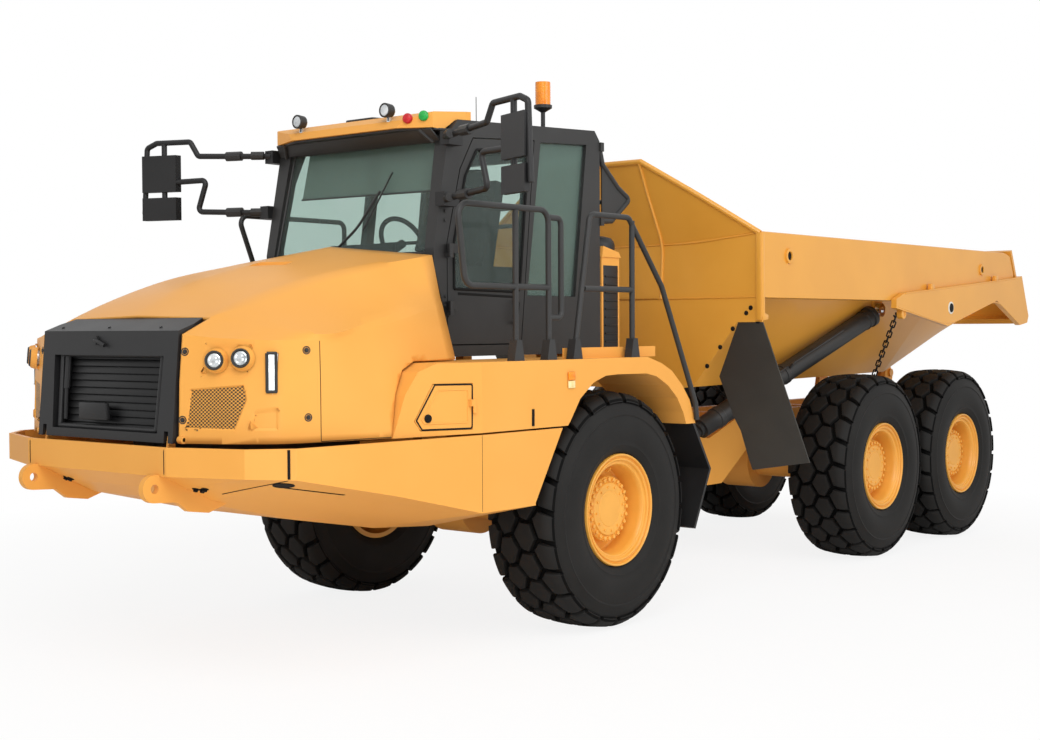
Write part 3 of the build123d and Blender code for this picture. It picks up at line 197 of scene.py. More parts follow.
# Lines of the left half, each from the mouth back to the cab: bottom edge, middle and top of the
# wall, crease, ridge and centre line, in millimetres
HOOD_LINES = [
    [(3112, 658, 1420), (3082, 722, 1420), (3030, 835, 1420), (2971, 950, 1420), (2905, 1041, 1420),
     (2816, 1139, 1420), (2700, 1197, 1420), (2585, 1229, 1420), (2150, 1320, 1420), (1335, 1238, 1420)],
    [(3103, 658, 1750), (3074, 720, 1750), (3022, 832, 1750), (2963, 948, 1750), (2898, 1040, 1750),
     (2811, 1137, 1750), (2697, 1195, 1750), (2585, 1228, 1750), (2150, 1262, 1760), (1335, 1137, 1760)],
    [(3080, 658, 2020), (3052, 720, 2012), (3004, 830, 2000), (2944, 945, 1994), (2876, 1036, 1988),
     (2796, 1130, 1984), (2692, 1189, 1984), (2585, 1222, 1984), (2150, 1215, 2050), (1335, 1003, 2190)],
    [(2892, 658, 2108), (2862, 722, 2098), (2820, 830, 2082), (2775, 945, 2062), (2730, 1036, 2046),
     (2682, 1125, 2030), (2636, 1180, 2021), (2585, 1218, 2016), (2150, 1196, 2088), (1335, 985, 2235)],
    [(2886, 655, 2112), (2852, 660, 2126), (2815, 665, 2141), (2772, 671, 2157), (2728, 677, 2174),
     (2680, 683, 2192), (2632, 688, 2209), (2585, 694, 2225), (2150, 765, 2353), (1335, 917, 2504)],
    [(2886, 0, 2128), (2852, 0, 2147), (2815, 0, 2167), (2772, 0, 2190), (2728, 0, 2213), (2680, 0, 2238),
     (2632, 0, 2262), (2585, 0, 2285), (2150, 0, 2418), (1335, 0, 2590)],
]
HOOD_COLUMNS, HOOD_ROWS = 72, 8
HOOD_SHEET = 0.02
# The pockets lie ahead of this, and below the crease; the step lies above STEP_ABOVE, in metres
CORNER_AHEAD, CORNER_BELOW, STEP_ABOVE = FRONT_AXLE + 2.6, 2.0, 2.3
# Edges sharper than this stay crisp: the crease and the pockets' rims, but not the ridge
CREASE_ANGLE = 42
# Radius of the black beads that paint the shade in the hood's gaps
GAP_SHADE_RADIUS = 0.0022
FENDER_EDGE = [(2127, 1300), (2127, 1415), (2042, 1672), (1950, 1802), (1812, 1852), (1200, 1852), (1200, 1300)]
MESH_OUTLINE = [(3082, 717, 1720), (2948, 995, 1744), (2932, 1011, 1661), (2971, 956, 1495), (3095, 691, 1500)]
BLANK_OUTLINE = [(2905, 1041, 1593), (2816, 1139, 1623), (2817, 1138, 1494), (2928, 1016, 1495)]
BAR_OUTLINE = [(2856, 1095, 1915), (2823, 1132, 1915), (2823, 1132, 1705), (2856, 1095, 1705)]
STEP_OUTLINE = [(2060, 20, 2435), (1957, 250, 2435), (1850, 205, 2467), (1945, -20, 2465)]
LAMP_OUTLINE = [(3048, 790, 1972), (2917, 1027, 1976), (2933, 1011, 1812), (3062, 770, 1785)]


def hood_skin():
    """The hood's outer skin, cut round the fender and pressed in at the corner's pockets."""
    skin = bmesh.new()
    spans = len(HOOD_LINES) - 1
    bmesh.ops.create_grid(skin, x_segments=HOOD_COLUMNS, y_segments=spans * HOOD_ROWS, size=1)
    for v in skin.verts:
        share, rise = (v.co.x + 1) / 2, (v.co.y + 1) / 2 * spans
        k = min(int(rise + 1e-6), spans - 1)
        low, high = along(HOOD_LINES[k], share), along(HOOD_LINES[k + 1], share)
        v.co = mm(*low.lerp(high, rise - k))
    notch = cut_out(skin, skin.faces[:], [mm(x, 1000, z) for x, z in FENDER_EDGE], Vector((0, 1, 0)))
    bmesh.ops.delete(skin, geom=[f for f in notch if f.calc_center_median().y > 0.5], context="FACES")
    for outline, inner, depth, material in (
            (LAMP_OUTLINE, 0.03, 0.007, 0), (MESH_OUTLINE, 0.008, 0.009, 1), (BLANK_OUTLINE, 0.012, 0.008, 0),
            (BAR_OUTLINE, 0.004, 0.006, 2)):
        middles = [(f, f.calc_center_median()) for f in skin.faces]
        corner = [f for f, middle in middles if middle.x > CORNER_AHEAD and middle.z < CORNER_BELOW]
        floor_faces = cut_out(skin, corner, in_place(outline), Vector((1, 0, 0)))
        bmesh.ops.inset_region(skin, faces=floor_faces, thickness=inner, depth=-depth, use_even_offset=False)
        for f in floor_faces:
            f.material_index = material
    bmesh.ops.mirror(skin, geom=skin.verts[:] + skin.edges[:] + skin.faces[:], axis="Y", merge_dist=0.0005)
    face_out(skin)
    top = max(skin.faces, key=lambda f: f.calc_center_median().z)
    if top.normal.z < 0:
        bmesh.ops.reverse_faces(skin, faces=skin.faces[:])
    top = [f for f in skin.faces if f.calc_center_median().z > STEP_ABOVE]
    step = cut_out(skin, top, in_place(STEP_OUTLINE), Vector((0, 0, 1)))
    bmesh.ops.inset_region(skin, faces=step, thickness=0.006, depth=-0.018, use_even_offset=False)
    return skin


def seat_on(tree, point, lift=0.0):
    """A place on a surface: its origin is the nearest point, lifted, and its Z points outwards."""
    spot, normal, _, _ = tree.find_nearest(point)
    across = Vector((0, 0, 1)) if abs(normal.z) < 0.9 else Vector((1, 0, 0))
    x = across.cross(normal).normalized()
    y = normal.cross(x)
    return Matrix.Translation(spot + normal * lift) @ Matrix((x, y, normal)).transposed().to_4x4()


def surface(piece):
    """A search tree over a piece's mesh."""
    mesh = bmesh.new()
    mesh.from_mesh(piece.data)
    tree = BVHTree.FromBMesh(mesh)
    mesh.free()
    return tree


MERGE_DISTANCE = 0.00005


def turned(mesh, profile, place, steps=32):
    """Add a turned part about the place's Z, from (radius, height) points in metres."""
    chain = [mesh.verts.new(place @ Vector((r, 0, z))) for r, z in profile]
    edges = [mesh.edges.new(pair) for pair in zip(chain, chain[1:])]
    bmesh.ops.spin(mesh, geom=chain + edges, cent=place.translation, angle=2 * math.pi, steps=steps,
                   axis=place.to_3x3() @ Vector((0, 0, 1)), use_merge=True)
    bmesh.ops.remove_doubles(mesh, verts=mesh.verts[:], dist=MERGE_DISTANCE)


def bolt(mesh, place, across, height):
    """A hexagonal bolt head with its washer, standing along +Z of place."""
    for radius, low, high, sides in ((across * 0.72, -0.002, height * 0.22, 20), (across / 2, 0, height, 6)):
        middle = place @ Matrix.Translation((0, 0, (high + low) / 2))
        made = bmesh.ops.create_cone(mesh, cap_ends=True, segments=sides, radius1=radius, radius2=radius,
                                     depth=high - low, matrix=middle)
        edges = {e for v in made["verts"] for e in v.link_edges}
        top = place @ Vector((0, 0, high))
        normal = (place.to_3x3() @ Vector((0, 0, 1))).normalized()
        rim_edges = [e for e in edges if all(abs((v.co - top).dot(normal)) < 1e-5 for v in e.verts)]
        bmesh.ops.bevel(mesh, geom=rim_edges, affect="EDGES", offset=height * 0.12, segments=1, profile=0.5,
                        material=-1)


def plate(mesh, corners, thick, round_by=0.003):
    """A flat plate with rounded edges: its front face has these corners, seen from the front
    anticlockwise, and its thickness goes back."""
    face = mesh.faces.new([mesh.verts.new(c) for c in in_place(corners)])
    face.normal_update()
    back = bmesh.ops.extrude_face_region(mesh, geom=[face], use_keep_orig=True)["geom"]
    moved = [g for g in back if isinstance(g, bmesh.types.BMVert)]
    bmesh.ops.translate(mesh, vec=-face.normal * thick, verts=moved)
    parts = set(face.verts) | set(moved)
    edges = {e for v in parts for e in v.link_edges}
    bmesh.ops.recalc_face_normals(mesh, faces=list({f for v in parts for f in v.link_faces}))
    if round_by:
        bmesh.ops.bevel(mesh, geom=list(edges), affect="EDGES", offset=round_by, segments=2, profile=0.5,
                        material=-1, clamp_overlap=True)


def run(points, radius, corner=0.5):
    """The mesh of a round bar or hose along straight runs, its corners rounded over a share of
    the shorter run, but no more than half."""
    curve = bpy.data.curves.new("run", "CURVE")
    curve.dimensions = "3D"
    curve.bevel_depth = radius
    curve.bevel_resolution = 3
    curve.use_fill_caps = True
    curve.resolution_u = 6
    path = [points[0]]
    for before, at, after in zip(points, points[1:], points[2:]):
        reach = min((before - at).length, (after - at).length) * min(corner, 0.49)
        path += [at + (before - at).normalized() * reach, at, at + (after - at).normalized() * reach]
    path.append(points[-1])
    spline = curve.splines.new("NURBS")
    spline.points.add(len(path) - 1)
    for knot, point in zip(spline.points, path):
        knot.co = (*point, 1.0)
    spline.order_u = 3
    spline.use_endpoint_u = True
    holder = bpy.data.objects.new("run", curve)
    mesh = bpy.data.meshes.new_from_object(holder)
    bpy.data.objects.remove(holder)
    bpy.data.curves.remove(curve)
    return mesh


def add_run(mesh, points, radius, corner=0.5):
    """Add such a bar to a piece."""
    made = run(in_place(points), radius, corner)
    mesh.from_mesh(made)
    bpy.data.meshes.remove(made)


def trace(tree, points, steps=8):
    """Spots on a surface, close together along straight runs between the points, in millimetres."""
    spots = [seat_on(tree, mm(*points[0])).translation]
    for a, b in zip(points, points[1:]):
        spots += [seat_on(tree, mm(*a).lerp(mm(*b), (i + 1) / steps)).translation for i in range(steps)]
    return spots


def mirror_left(mesh):
    """Add the right-hand twin of everything in a piece."""
    made = bmesh.ops.duplicate(mesh, geom=mesh.verts[:] + mesh.edges[:] + mesh.faces[:])["geom"]
    bmesh.ops.scale(mesh, vec=(1, -1, 1), verts=[g for g in made if isinstance(g, bmesh.types.BMVert)])
    bmesh.ops.reverse_faces(mesh, faces=[g for g in made if isinstance(g, bmesh.types.BMFace)])


# Powder coat on the cab half: warm yellow, satin, a slight orange peel that softens reflections
yellow = finish("yellow powder coat", "#F0AD56", "#EBA750", 0.9, 0.006, 0.00012, (0.36, 0.44), coat=0.0,
                spec=0.14)
# Black powder coat on tubes and the cab frame: soft grey highlights along edges
black = finish("black powder coat", "#303030", "#2A2A2A", 0.4, 0.004, 0.0002, (0.4, 0.5), spec=0.35)
# Black rubber in seals and rings, matt; the same black paints the shade in seams, gaps, slots and holes
rubber_and_gap_shade = finish("black rubber and painted gap shade", "#121212", "#0E0E0E", 0.3, 0.004, 0.0003, (0.65, 0.8), spec=0.2)
# Polished lamp reflector under clear polycarbonate: bright silver with soft darker bands
lens = finish("lamp reflector and lens", "#E4E8EA", "#A9AFB3", 0.09, 0.02, 0.0006, (0.1, 0.2), metal=0.6)
# White diffuser of the daytime light bar
diffuser = finish("white diffuser", "#FFFFFF", "#F2F4F5", 0.12, 0.01, 0.0005, (0.12, 0.2))


def punched_sheet(name, sheet, behind, cell):
    """Sheet metal that faces forward, with staggered round holes painted on it, not cut: the holes show painted
    shade in the colour behind.
    """
    made, tree, shader, place = begin(name)
    split = add(tree, "ShaderNodeSeparateXYZ", [("Vector", place, "Object")])
    flat = add(tree, "ShaderNodeCombineXYZ", [("X", split, "Y"), ("Y", split, "Z")])
    turn = add(tree, "ShaderNodeMapping", [("Vector", flat, "Vector")], Rotation=(0.0, 0.0, math.radians(45)))
    holes = add(tree, "ShaderNodeTexVoronoi", [("Vector", turn, "Vector")], voronoi_dimensions="2D",
                Scale=1 / cell, Randomness=0.0)
    edge = add(tree, "ShaderNodeMapRange", [("Value", holes, "Distance")], From_Min=0.36, From_Max=0.45)
    colour = add(tree, "ShaderNodeMix", [("Factor", edge, "Result")], data_type="RGBA")
    colour.inputs[6].default_value = linear(behind)
    colour.inputs[7].default_value = linear(sheet)
    tree.links.new(colour.outputs[2], shader.inputs["Base Color"])
    relief = add(tree, "ShaderNodeBump", [("Height", edge, "Result")], Strength=0.8, Distance=0.003)
    tree.links.new(relief.outputs["Normal"], shader.inputs["Normal"])
    shader.inputs["Roughness"].default_value = 0.5
    return made


# The corner's air mesh: yellow sheet with painted holes 14 mm apart, dark brown as the painted shade behind
# them
air_mesh = punched_sheet("yellow sheet with painted hole shade", "#E0A043", "#3A2810", 0.014)

hood_mesh = hood_skin()
tree = BVHTree.FromBMesh(hood_mesh)
hood = show("hood", as_mesh("hood", hood_mesh), "hood", "yellow_paint", yellow, air_mesh, diffuser)
smooth(hood, CREASE_ANGLE)
wall = hood.modifiers.new("sheet", "SOLIDIFY")
wall.thickness = HOOD_SHEET
wall.offset = -1
hood_trim = bmesh.new()
for x, y, z in ((3104, 690, 1926), (3110, 682, 1550), (2664, 1205, 1929), (2660, 1208, 1560)):
    place = seat_on(tree, mm(x, y, z))
    turned(hood_trim, [(0.024, -0.002), (0.0225, 0.0025), (0.017, 0.0005), (0.016, -0.001)], place, 24)
    bolt(hood_trim, place, 0.02, 0.008)
mirror_left(hood_trim)
show("hood_bolts", hood_trim, "hood", "black_paint", black)
# Seam behind the corner panel, and the shadow gap along the lower edge, each a thin black bead: painted shade
# of the gap
hood_gap_shade_lines = bmesh.new()
for line in ([(2585, 1230, 1425), (2585, 1228, 1700), (2585, 1226, 1980)],
             [(2127, 1323, 1424), (2350, 1280, 1424), (2585, 1232, 1424)]):
    add_run(hood_gap_shade_lines, trace(tree, line), GAP_SHADE_RADIUS)
mirror_left(hood_gap_shade_lines)
show("hood_gap_shade", hood_gap_shade_lines, "hood", "yellow_paint", rubber_and_gap_shade)
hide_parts("hood_shell")

# ----------------------------------------------------------
# Headlamps.
# Two round lamps in each corner: a chromed bowl under a clear lens, a black ring and a flared
# yellow collar. A tall light bar stands behind them in a black frame.

LAMPS = [(3030, 869, 1877), (2958, 1002, 1889)]
LAMP_FACING = Vector((0.84, 0.52, 0.08))
collars, lamp_rings, lenses = bmesh.new(), bmesh.new(), bmesh.new()
for x, y, z in LAMPS:
    facing = LAMP_FACING.to_track_quat("Z", "Y").to_matrix().to_4x4()
    place = Matrix.Translation(mm(x + 6, y + 4, z)) @ facing
    turned(collars, [(0.07, -0.035), (0.062, -0.006), (0.057, 0.002), (0.052, 0.0), (0.052, -0.02)], place)
    turned(lamp_rings, [(0.052, -0.02), (0.053, 0.006), (0.049, 0.011), (0.043, 0.01), (0.04, 0.002),
                        (0.04, -0.02)],
           place)
    turned(lenses, [(0.0405, -0.004), (0.038, 0.004), (0.03, 0.007), (0.022, 0.005), (0.012, 0.008),
                    (0.0001, 0.009)],
           place)
bar = [(x + 3, y + 4, z) for x, y, z in BAR_OUTLINE]
add_run(lamp_rings, bar + bar[:1], 0.0085, 0.08)
for part in (collars, lamp_rings, lenses):
    mirror_left(part)
show("lamp_collars", collars, "hood", "yellow_paint", yellow)
show("lamp_rings", lamp_rings, "hood", "black_paint", black)
show("lamp_lenses", lenses, "hood", "lamp_glass", lens)

# ----------------------------------------------------------
# Grille.
# A black pressed frame whose opening has a chamfered edge, a louvred panel of black plastic behind
# it, a lever latch, a camera in its box and a strut that holds the frame when it is folded down.

# Moulded black plastic with a fine leather-like grain
plastic = finish("black moulded plastic", "#1D1D1E", "#171718", 0.3, 0.003, 0.0004, (0.42, 0.52), spec=0.4)
# Louvres and their backing plate behind the frame: the black plastic made deeper black as painted shade of the
# recess
louvre_shade_black = finish("louvre plastic with painted shade", "#101011", "#0C0C0D", 0.3, 0.003, 0.0004, (0.35, 0.45), spec=0.3)

GRILLE_OPENING = [(3108, -462, 1482), (3108, 462, 1482), (3068, 478, 1905), (3068, -478, 1905)]
grille = bmesh.new()
add_run(grille, GRILLE_OPENING + GRILLE_OPENING[:1], 0.016, 0.06)
show("grille_surround", grille, "grille", "grille_black", plastic)
# Louvres: how many, the lowest one's place, and the step from one to the next, in millimetres
LOUVRES, LOUVRE_START, LOUVRE_STEP = 11, (3074, 1466), (-3.2, 41)
louvres = bmesh.new()
for i in range(LOUVRES):
    x, z = (start + i * step for start, step in zip(LOUVRE_START, LOUVRE_STEP))
    plate(louvres, [(x + 6, -462, z), (x + 6, 462, z), (x - 6, 462, z + 38), (x - 6, -462, z + 38)], 0.004,
          0.0015)
plate(louvres, [(3056, -490, 1462), (3056, 490, 1462), (3024, 490, 1915), (3024, -490, 1915)], 0.004, 0.001)
show("grille_louvres", louvres, "grille", "grille_black", louvre_shade_black)
camera_box = bmesh.new()
plate(camera_box, [(3100, -243, 1526), (3100, 33, 1526), (3106, 25, 1630), (3106, -235, 1630)], 0.035, 0.012)
plate(camera_box, [(3104, -200, 1544), (3104, -20, 1544), (3109, -20, 1612), (3109, -200, 1612)], 0.02, 0.006)
add_run(camera_box, [(3070, -109, 1985), (3112, -109, 1987), (3114, -60, 1975), (3112, -10, 1955)], 0.011)
add_run(camera_box, [(3070, -109, 1985), (3110, -109, 1987)], 0.026)
for y in (-520, -60, 420):
    bolt(camera_box, Matrix.Translation(mm(3040, y, 2058)) @ Matrix.Rotation(math.radians(20), 4, "Y"),
         0.016, 0.007)
add_run(camera_box, [(3074, -430, 1880), (3092, -430, 1520)], 0.012)
add_run(camera_box, [(3064, -430, 1890), (3081, -430, 1700)], 0.019)
show("grille_fittings", camera_box, "grille", "grille_black", plastic)

# ----------------------------------------------------------
# Bumper.
# Folded yellow plate with a joint at each corner and at the end of the centre section, a long slot
# and an access hole in the belly, and black bolt heads beside the tow plates.

bumper_tree = surface(nodes["bumper_skirts"])
# The joints and the long slot are thin black beads on the plate: painted shade of their gaps
bumper_joint_shade_lines = bmesh.new()
for line, radius in (([(3195, 640, 1400), (3195, 640, 1243)], 0.003),
                     ([(2872, 1283, 1398), (2872, 1283, 1240)], 0.008),
                     ([(2872, 1272, 1226), (2882, 1080, 1185), (2888, 900, 1145), (2891, 750, 1112)], 0.0035),
                     ([(1470, 1440, 1400), (1470, 1440, 940)], 0.0015),
                     ([(2780, 1140, 1150), (2400, 1215, 1125), (2038, 1300, 1101)], 0.005)):
    add_run(bumper_joint_shade_lines, trace(bumper_tree, line), radius)
mirror_left(bumper_joint_shade_lines)
show("bumper_joint_shade", bumper_joint_shade_lines, "front_frame", "yellow_paint", rubber_and_gap_shade)
access = bmesh.new()
place = seat_on(bumper_tree, mm(2820, 1180, 1165))
turned(access, [(0.062, -0.004), (0.06, 0.003), (0.052, 0.004), (0.048, 0.0005), (0.0001, 0.0005)],
       place @ Matrix.Diagonal((1.0, 0.72, 1.0, 1.0)), 40)
for x, y, z in ((3060, 440, 1155), (3060, 490, 1155), (3060, -440, 1155), (3060, -490, 1155), (3005, 660, 1140),
                (2990, 720, 1140), (2985, 690, 1125)):
    bolt(access, seat_on(bumper_tree, mm(x, y, z)), 0.03, 0.016)
show("bumper_bolts", access, "front_frame", "black_paint", rubber_and_gap_shade)
hinges = bmesh.new()
NOSE_HINGE_X, NOSE_HINGE_Y, NOSE_HINGE_Z = 3100, 668, 1440
for s in (-1, 1):
    place = (Matrix.Translation(mm(NOSE_HINGE_X, s * NOSE_HINGE_Y, NOSE_HINGE_Z))
             @ Matrix.Rotation(-s * math.pi / 2, 4, "X"))
    turned(hinges, [(0.0125, -0.02), (0.021, -0.018), (0.023, 0.0), (0.021, 0.022), (0.012, 0.024),
                    (0.0001, 0.024)],
           place, 24)
show("nose_hinge_ends", hinges, "front_frame", "yellow_paint", yellow)

# ----------------------------------------------------------
# Fenders and locker.
# Welded yellow boxes beside the hood with a rolled flare over the wheel; a hatch with a round lock and
# a black bead round its edge as painted shade of the gap, an amber marker with a pale lens below it,
# and a slot drawn as a black bar, painted shade.

# Amber polycarbonate of lamps and markers
amber = finish("amber polycarbonate", "#FF9A1E", "#F08508", 0.05, 0.008, 0.0008, (0.15, 0.25))
# Pale reflector, prismatic plastic
pale = finish("prismatic reflector", "#F6E7B0", "#EBD48A", 0.03, 0.004, 0.0008, (0.2, 0.3))

fender_tree = surface(nodes["fenders"])
# The slot is a black bar on the fender: painted shade in the opening
fender_slot_shade_bar = bmesh.new()
add_run(fender_slot_shade_bar, trace(fender_tree, [(984, 1440, 1537), (985, 1440, 1431)], 1), 0.011)
show("fender_slot_shade", fender_slot_shade_bar, "front_frame", "yellow_paint", rubber_and_gap_shade)
for name, y, low, high, thick, slot, material in (
        ("side_marker", 1446, 1708, 1760, 0.008, "beacon_amber", amber),
        ("side_reflector", 1445, 1655, 1702, 0.007, "lamp_glass", pale)):
    marker = bmesh.new()
    plate(marker, [(560, y, low), (560, y, high), (630, y, high), (630, y, low)], thick)
    show(name, marker, "front_frame", slot, material)
locker_tree = surface(nodes["locker_door"])
# A black bead round the hatch's edge paints the shade of its gap; the lock sits on the hatch
hatch_edge_shade_and_lock = bmesh.new()
edge = [(1826, 1420, 1714), (1545, 1440, 1710), (1548, 1440, 1448), (1918, 1400, 1454), (1958, 1390, 1510),
        (1826, 1420, 1714)]
add_run(hatch_edge_shade_and_lock, trace(locker_tree, edge, 1), 0.005, 0.12)
inner = [(1800, 1420, 1682), (1580, 1440, 1680), (1582, 1440, 1484), (1900, 1400, 1488), (1922, 1390, 1515),
         (1800, 1420, 1682)]
pressed = bmesh.new()
add_run(pressed, trace(locker_tree, inner, 1), 0.005, 0.12)
show("locker_pressing", pressed, "locker_leaf", "yellow_paint", yellow)
place = seat_on(locker_tree, mm(1875, 1400, 1519))
turned(hatch_edge_shade_and_lock, [(0.026, -0.002), (0.024, 0.007), (0.013, 0.009), (0.0001, 0.009)], place, 24)
add_run(hatch_edge_shade_and_lock, [place @ Vector((-0.012, -0.012, 0.01)), place @ Vector((0.012, 0.012, 0.01))], 0.004)
show("locker_edge_shade_and_lock", hatch_edge_shade_and_lock, "locker_leaf", "black_paint", rubber_and_gap_shade)

# ----------------------------------------------------------
# Cab frame, visor and roof.
# A black welded frame with rubber seals round its panes; a black visor hangs under the yellow
# roof cap, which carries two work lamps, a red and a green indicator and an aerial.

def glass(name, tint, body, clear, rough):
    """A thin pane: the clear share of the light passes, tinted; the rest mirrors the studio."""
    made, tree, shader, place = begin(name)
    shader.inputs["Base Color"].default_value = linear(body)
    shader.inputs["Roughness"].default_value = rough
    drift = add(tree, "ShaderNodeTexNoise", [("Vector", place, "Object")], Scale=1.5, Detail=2.0)
    ramp = add(tree, "ShaderNodeValToRGB", [("Fac", drift, "Fac")])
    ramp.color_ramp.elements[0].color = linear(tint[0])
    ramp.color_ramp.elements[1].color = linear(tint[1])
    through = add(tree, "ShaderNodeBsdfTransparent", [("Color", ramp, "Color")])
    both = add(tree, "ShaderNodeMixShader", [(1, through, "BSDF"), (2, shader, "BSDF")], Fac=1 - clear)
    tree.links.new(both.outputs["Shader"], tree.nodes["Material Output"].inputs["Surface"])
    return made


# Green-tinted toughened glass, 8 mm: clear, a little mint where white shows through
window = glass("green tinted glass", ("#EFF9F5", "#F6FCFA"), "#7C8885", 0.84, 0.02)
# The blind's grey-green film, half open weave
film = glass("blind film", ("#9AA6A1", "#A4AFAA"), "#8A9791", 0.45, 0.4)
# Moulded polycarbonate of the two indicators
red = finish("red lens", "#D0202A", "#B81820", 0.03, 0.006, 0.0006, (0.2, 0.3))
green = finish("green lens", "#22B04A", "#1A9A3E", 0.03, 0.006, 0.0006, (0.2, 0.3))

cab_trim = bmesh.new()
# Visor: a thin plate under the cap that drops at its front edge, with a stay at each end
plate(cab_trim, [(1196, -500, 3344), (1110, -745, 3338), (1000, -780, 3338), (1000, 780, 3338),
                 (1110, 745, 3338), (1196, 500, 3344)], 0.016, 0.005)
plate(cab_trim, [(1075, -760, 3262), (1075, 760, 3262), (1140, 735, 3336), (1140, -735, 3336)], 0.012, 0.004)
for s in (-1, 1):
    add_run(cab_trim, [(1080, s * 700, 3250), (1150, s * 640, 3325)], 0.014)
# Seal round the windscreen
shell_tree = surface(nodes["cab_shell"])
WINDSCREEN = [(1165, -722, 2530), (1165, 722, 2530), (1010, 692, 3268), (1010, -692, 3268), (1165, -722, 2530)]
add_run(cab_trim, trace(shell_tree, WINDSCREEN, 6), 0.012, 0.3)
# Wiper: motor cowl at the foot of the windscreen, arm and blade
plate(cab_trim, [(1205, -330, 2490), (1205, 120, 2490), (1195, 60, 2572), (1195, -270, 2572)], 0.03, 0.012)
add_run(cab_trim, [(1205, -105, 2560), (1160, 80, 2720), (1105, 240, 2960)], 0.009)
add_run(cab_trim, [(1150, 120, 2700), (1118, 225, 2880), (1078, 330, 3080)], 0.006)
# Aerial, with its foot, and two black boxes on the cap
add_run(cab_trim, [(-500, -300, 3466), (-500, -300, 3520)], 0.014)
add_run(cab_trim, [(-500, -300, 3500), (-499, -300, 3820)], 0.003)
plate(cab_trim, [(985, 560, 3455), (900, 560, 3458), (900, 700, 3458), (985, 700, 3455)], 0.045, 0.008)
plate(cab_trim, [(1010, -180, 3476), (800, -180, 3486), (800, 80, 3486), (1010, 80, 3476)], 0.022, 0.008)
# Bolts on the door pillar
for z in (2130, 2190, 2250, 2740, 2800, 2860):
    bolt(cab_trim, seat_on(shell_tree, mm(1085, 820, z)), 0.02, 0.009)
show("cab_trim", cab_trim, "front_frame", "black_paint", black)
for name, y, z, x, material in (("red_indicator", 580, 3413, 1200, red),
                                ("green_indicator", 689, 3413, 1165, green)):
    dome = bmesh.new()
    place = seat_on(surface(nodes["roof_cap"]), mm(x, y, z), 0.001)
    turned(dome, [(0.034, -0.004), (0.034, 0.008), (0.028, 0.018), (0.014, 0.023), (0.0001, 0.024)], place,
           28)
    show(name, dome, "front_frame", "lamp_glass", material)
work_lamps, work_lenses = bmesh.new(), bmesh.new()
for s in (-1, 1):
    place = Matrix.Translation(mm(1236, s * 418, 3465)) @ Matrix.Rotation(math.pi / 2, 4, "Y")
    turned(work_lamps, [(0.0001, -0.064), (0.03, -0.062), (0.044, -0.05), (0.0475, -0.01), (0.0475, 0.006),
                        (0.043, 0.01), (0.037, 0.007), (0.0365, -0.002)], place, 36)
    turned(work_lenses, [(0.0375, 0.0045), (0.03, 0.007), (0.018, 0.0055), (0.0001, 0.0085)], place, 36)
    add_run(work_lamps, [(1196, s * 418, 3398), (1196, s * 418, 3432)], 0.012)
show("work_lamp_bowls", work_lamps, "front_frame", "black_paint", black)
show("work_lamp_lenses", work_lenses, "front_frame", "lamp_glass", lens)
# Blind: film pulled a third of the way down behind the windscreen
blind = bmesh.new()
plate(blind, [(1062, -560, 2950), (1062, 655, 2940), (985, 640, 3275), (985, -560, 3275)], 0.002, 0)
show("windscreen_blind", blind, "front_frame", "window_glass", film)
# The same film on the inside of the fixed pane behind the door
side_film = bmesh.new()
plate(side_film, [(90, 764, 3325), (-435, 764, 3352), (-296, 764, 2270), (240, 764, 2270)], 0.002, 0)
show("side_pane_film", side_film, "front_frame", "window_glass", film)
blind_rod = bmesh.new()
add_run(blind_rod, [(1064, -565, 2948), (1064, 660, 2938)], 0.007)
show("blind_rod", blind_rod, "front_frame", "black_paint", black)

# ----------------------------------------------------------
# Cab door.
# A black frame hinged at its front pillar with a rubber seal round the pane and a long handle.

door_trim = bmesh.new()
add_run(door_trim, [(1000, 802, 2300), (1000, 802, 2600), (885, 802, 3040), (770, 802, 3220), (225, 802, 3260),
                    (330, 802, 2290), (1000, 802, 2300)], 0.009, 0.16)
add_run(door_trim, [(392, 812, 2230), (392, 840, 2215), (408, 840, 2090), (408, 812, 2075)], 0.011, 0.3)
plate(door_trim, [(960, 803, 2262), (960, 803, 2278), (345, 803, 2262), (345, 803, 2246)], 0.004, 0.001)
show("door_trim", door_trim, "cab_door_leaf", "black_paint", rubber_and_gap_shade)

# ----------------------------------------------------------
# Seat and controls.
# An air-sprung seat: foam cushions in woven charcoal cloth on a moulded shell, with the steering
# wheel on its column and a dark instrument panel in front of it.

# Woven seat cloth, charcoal, with a fine rib
cloth = finish("seat cloth", "#3A3B3D", "#2C2D2F", 0.08, 0.002, 0.0008, (0.85, 0.95), spec=0.2)


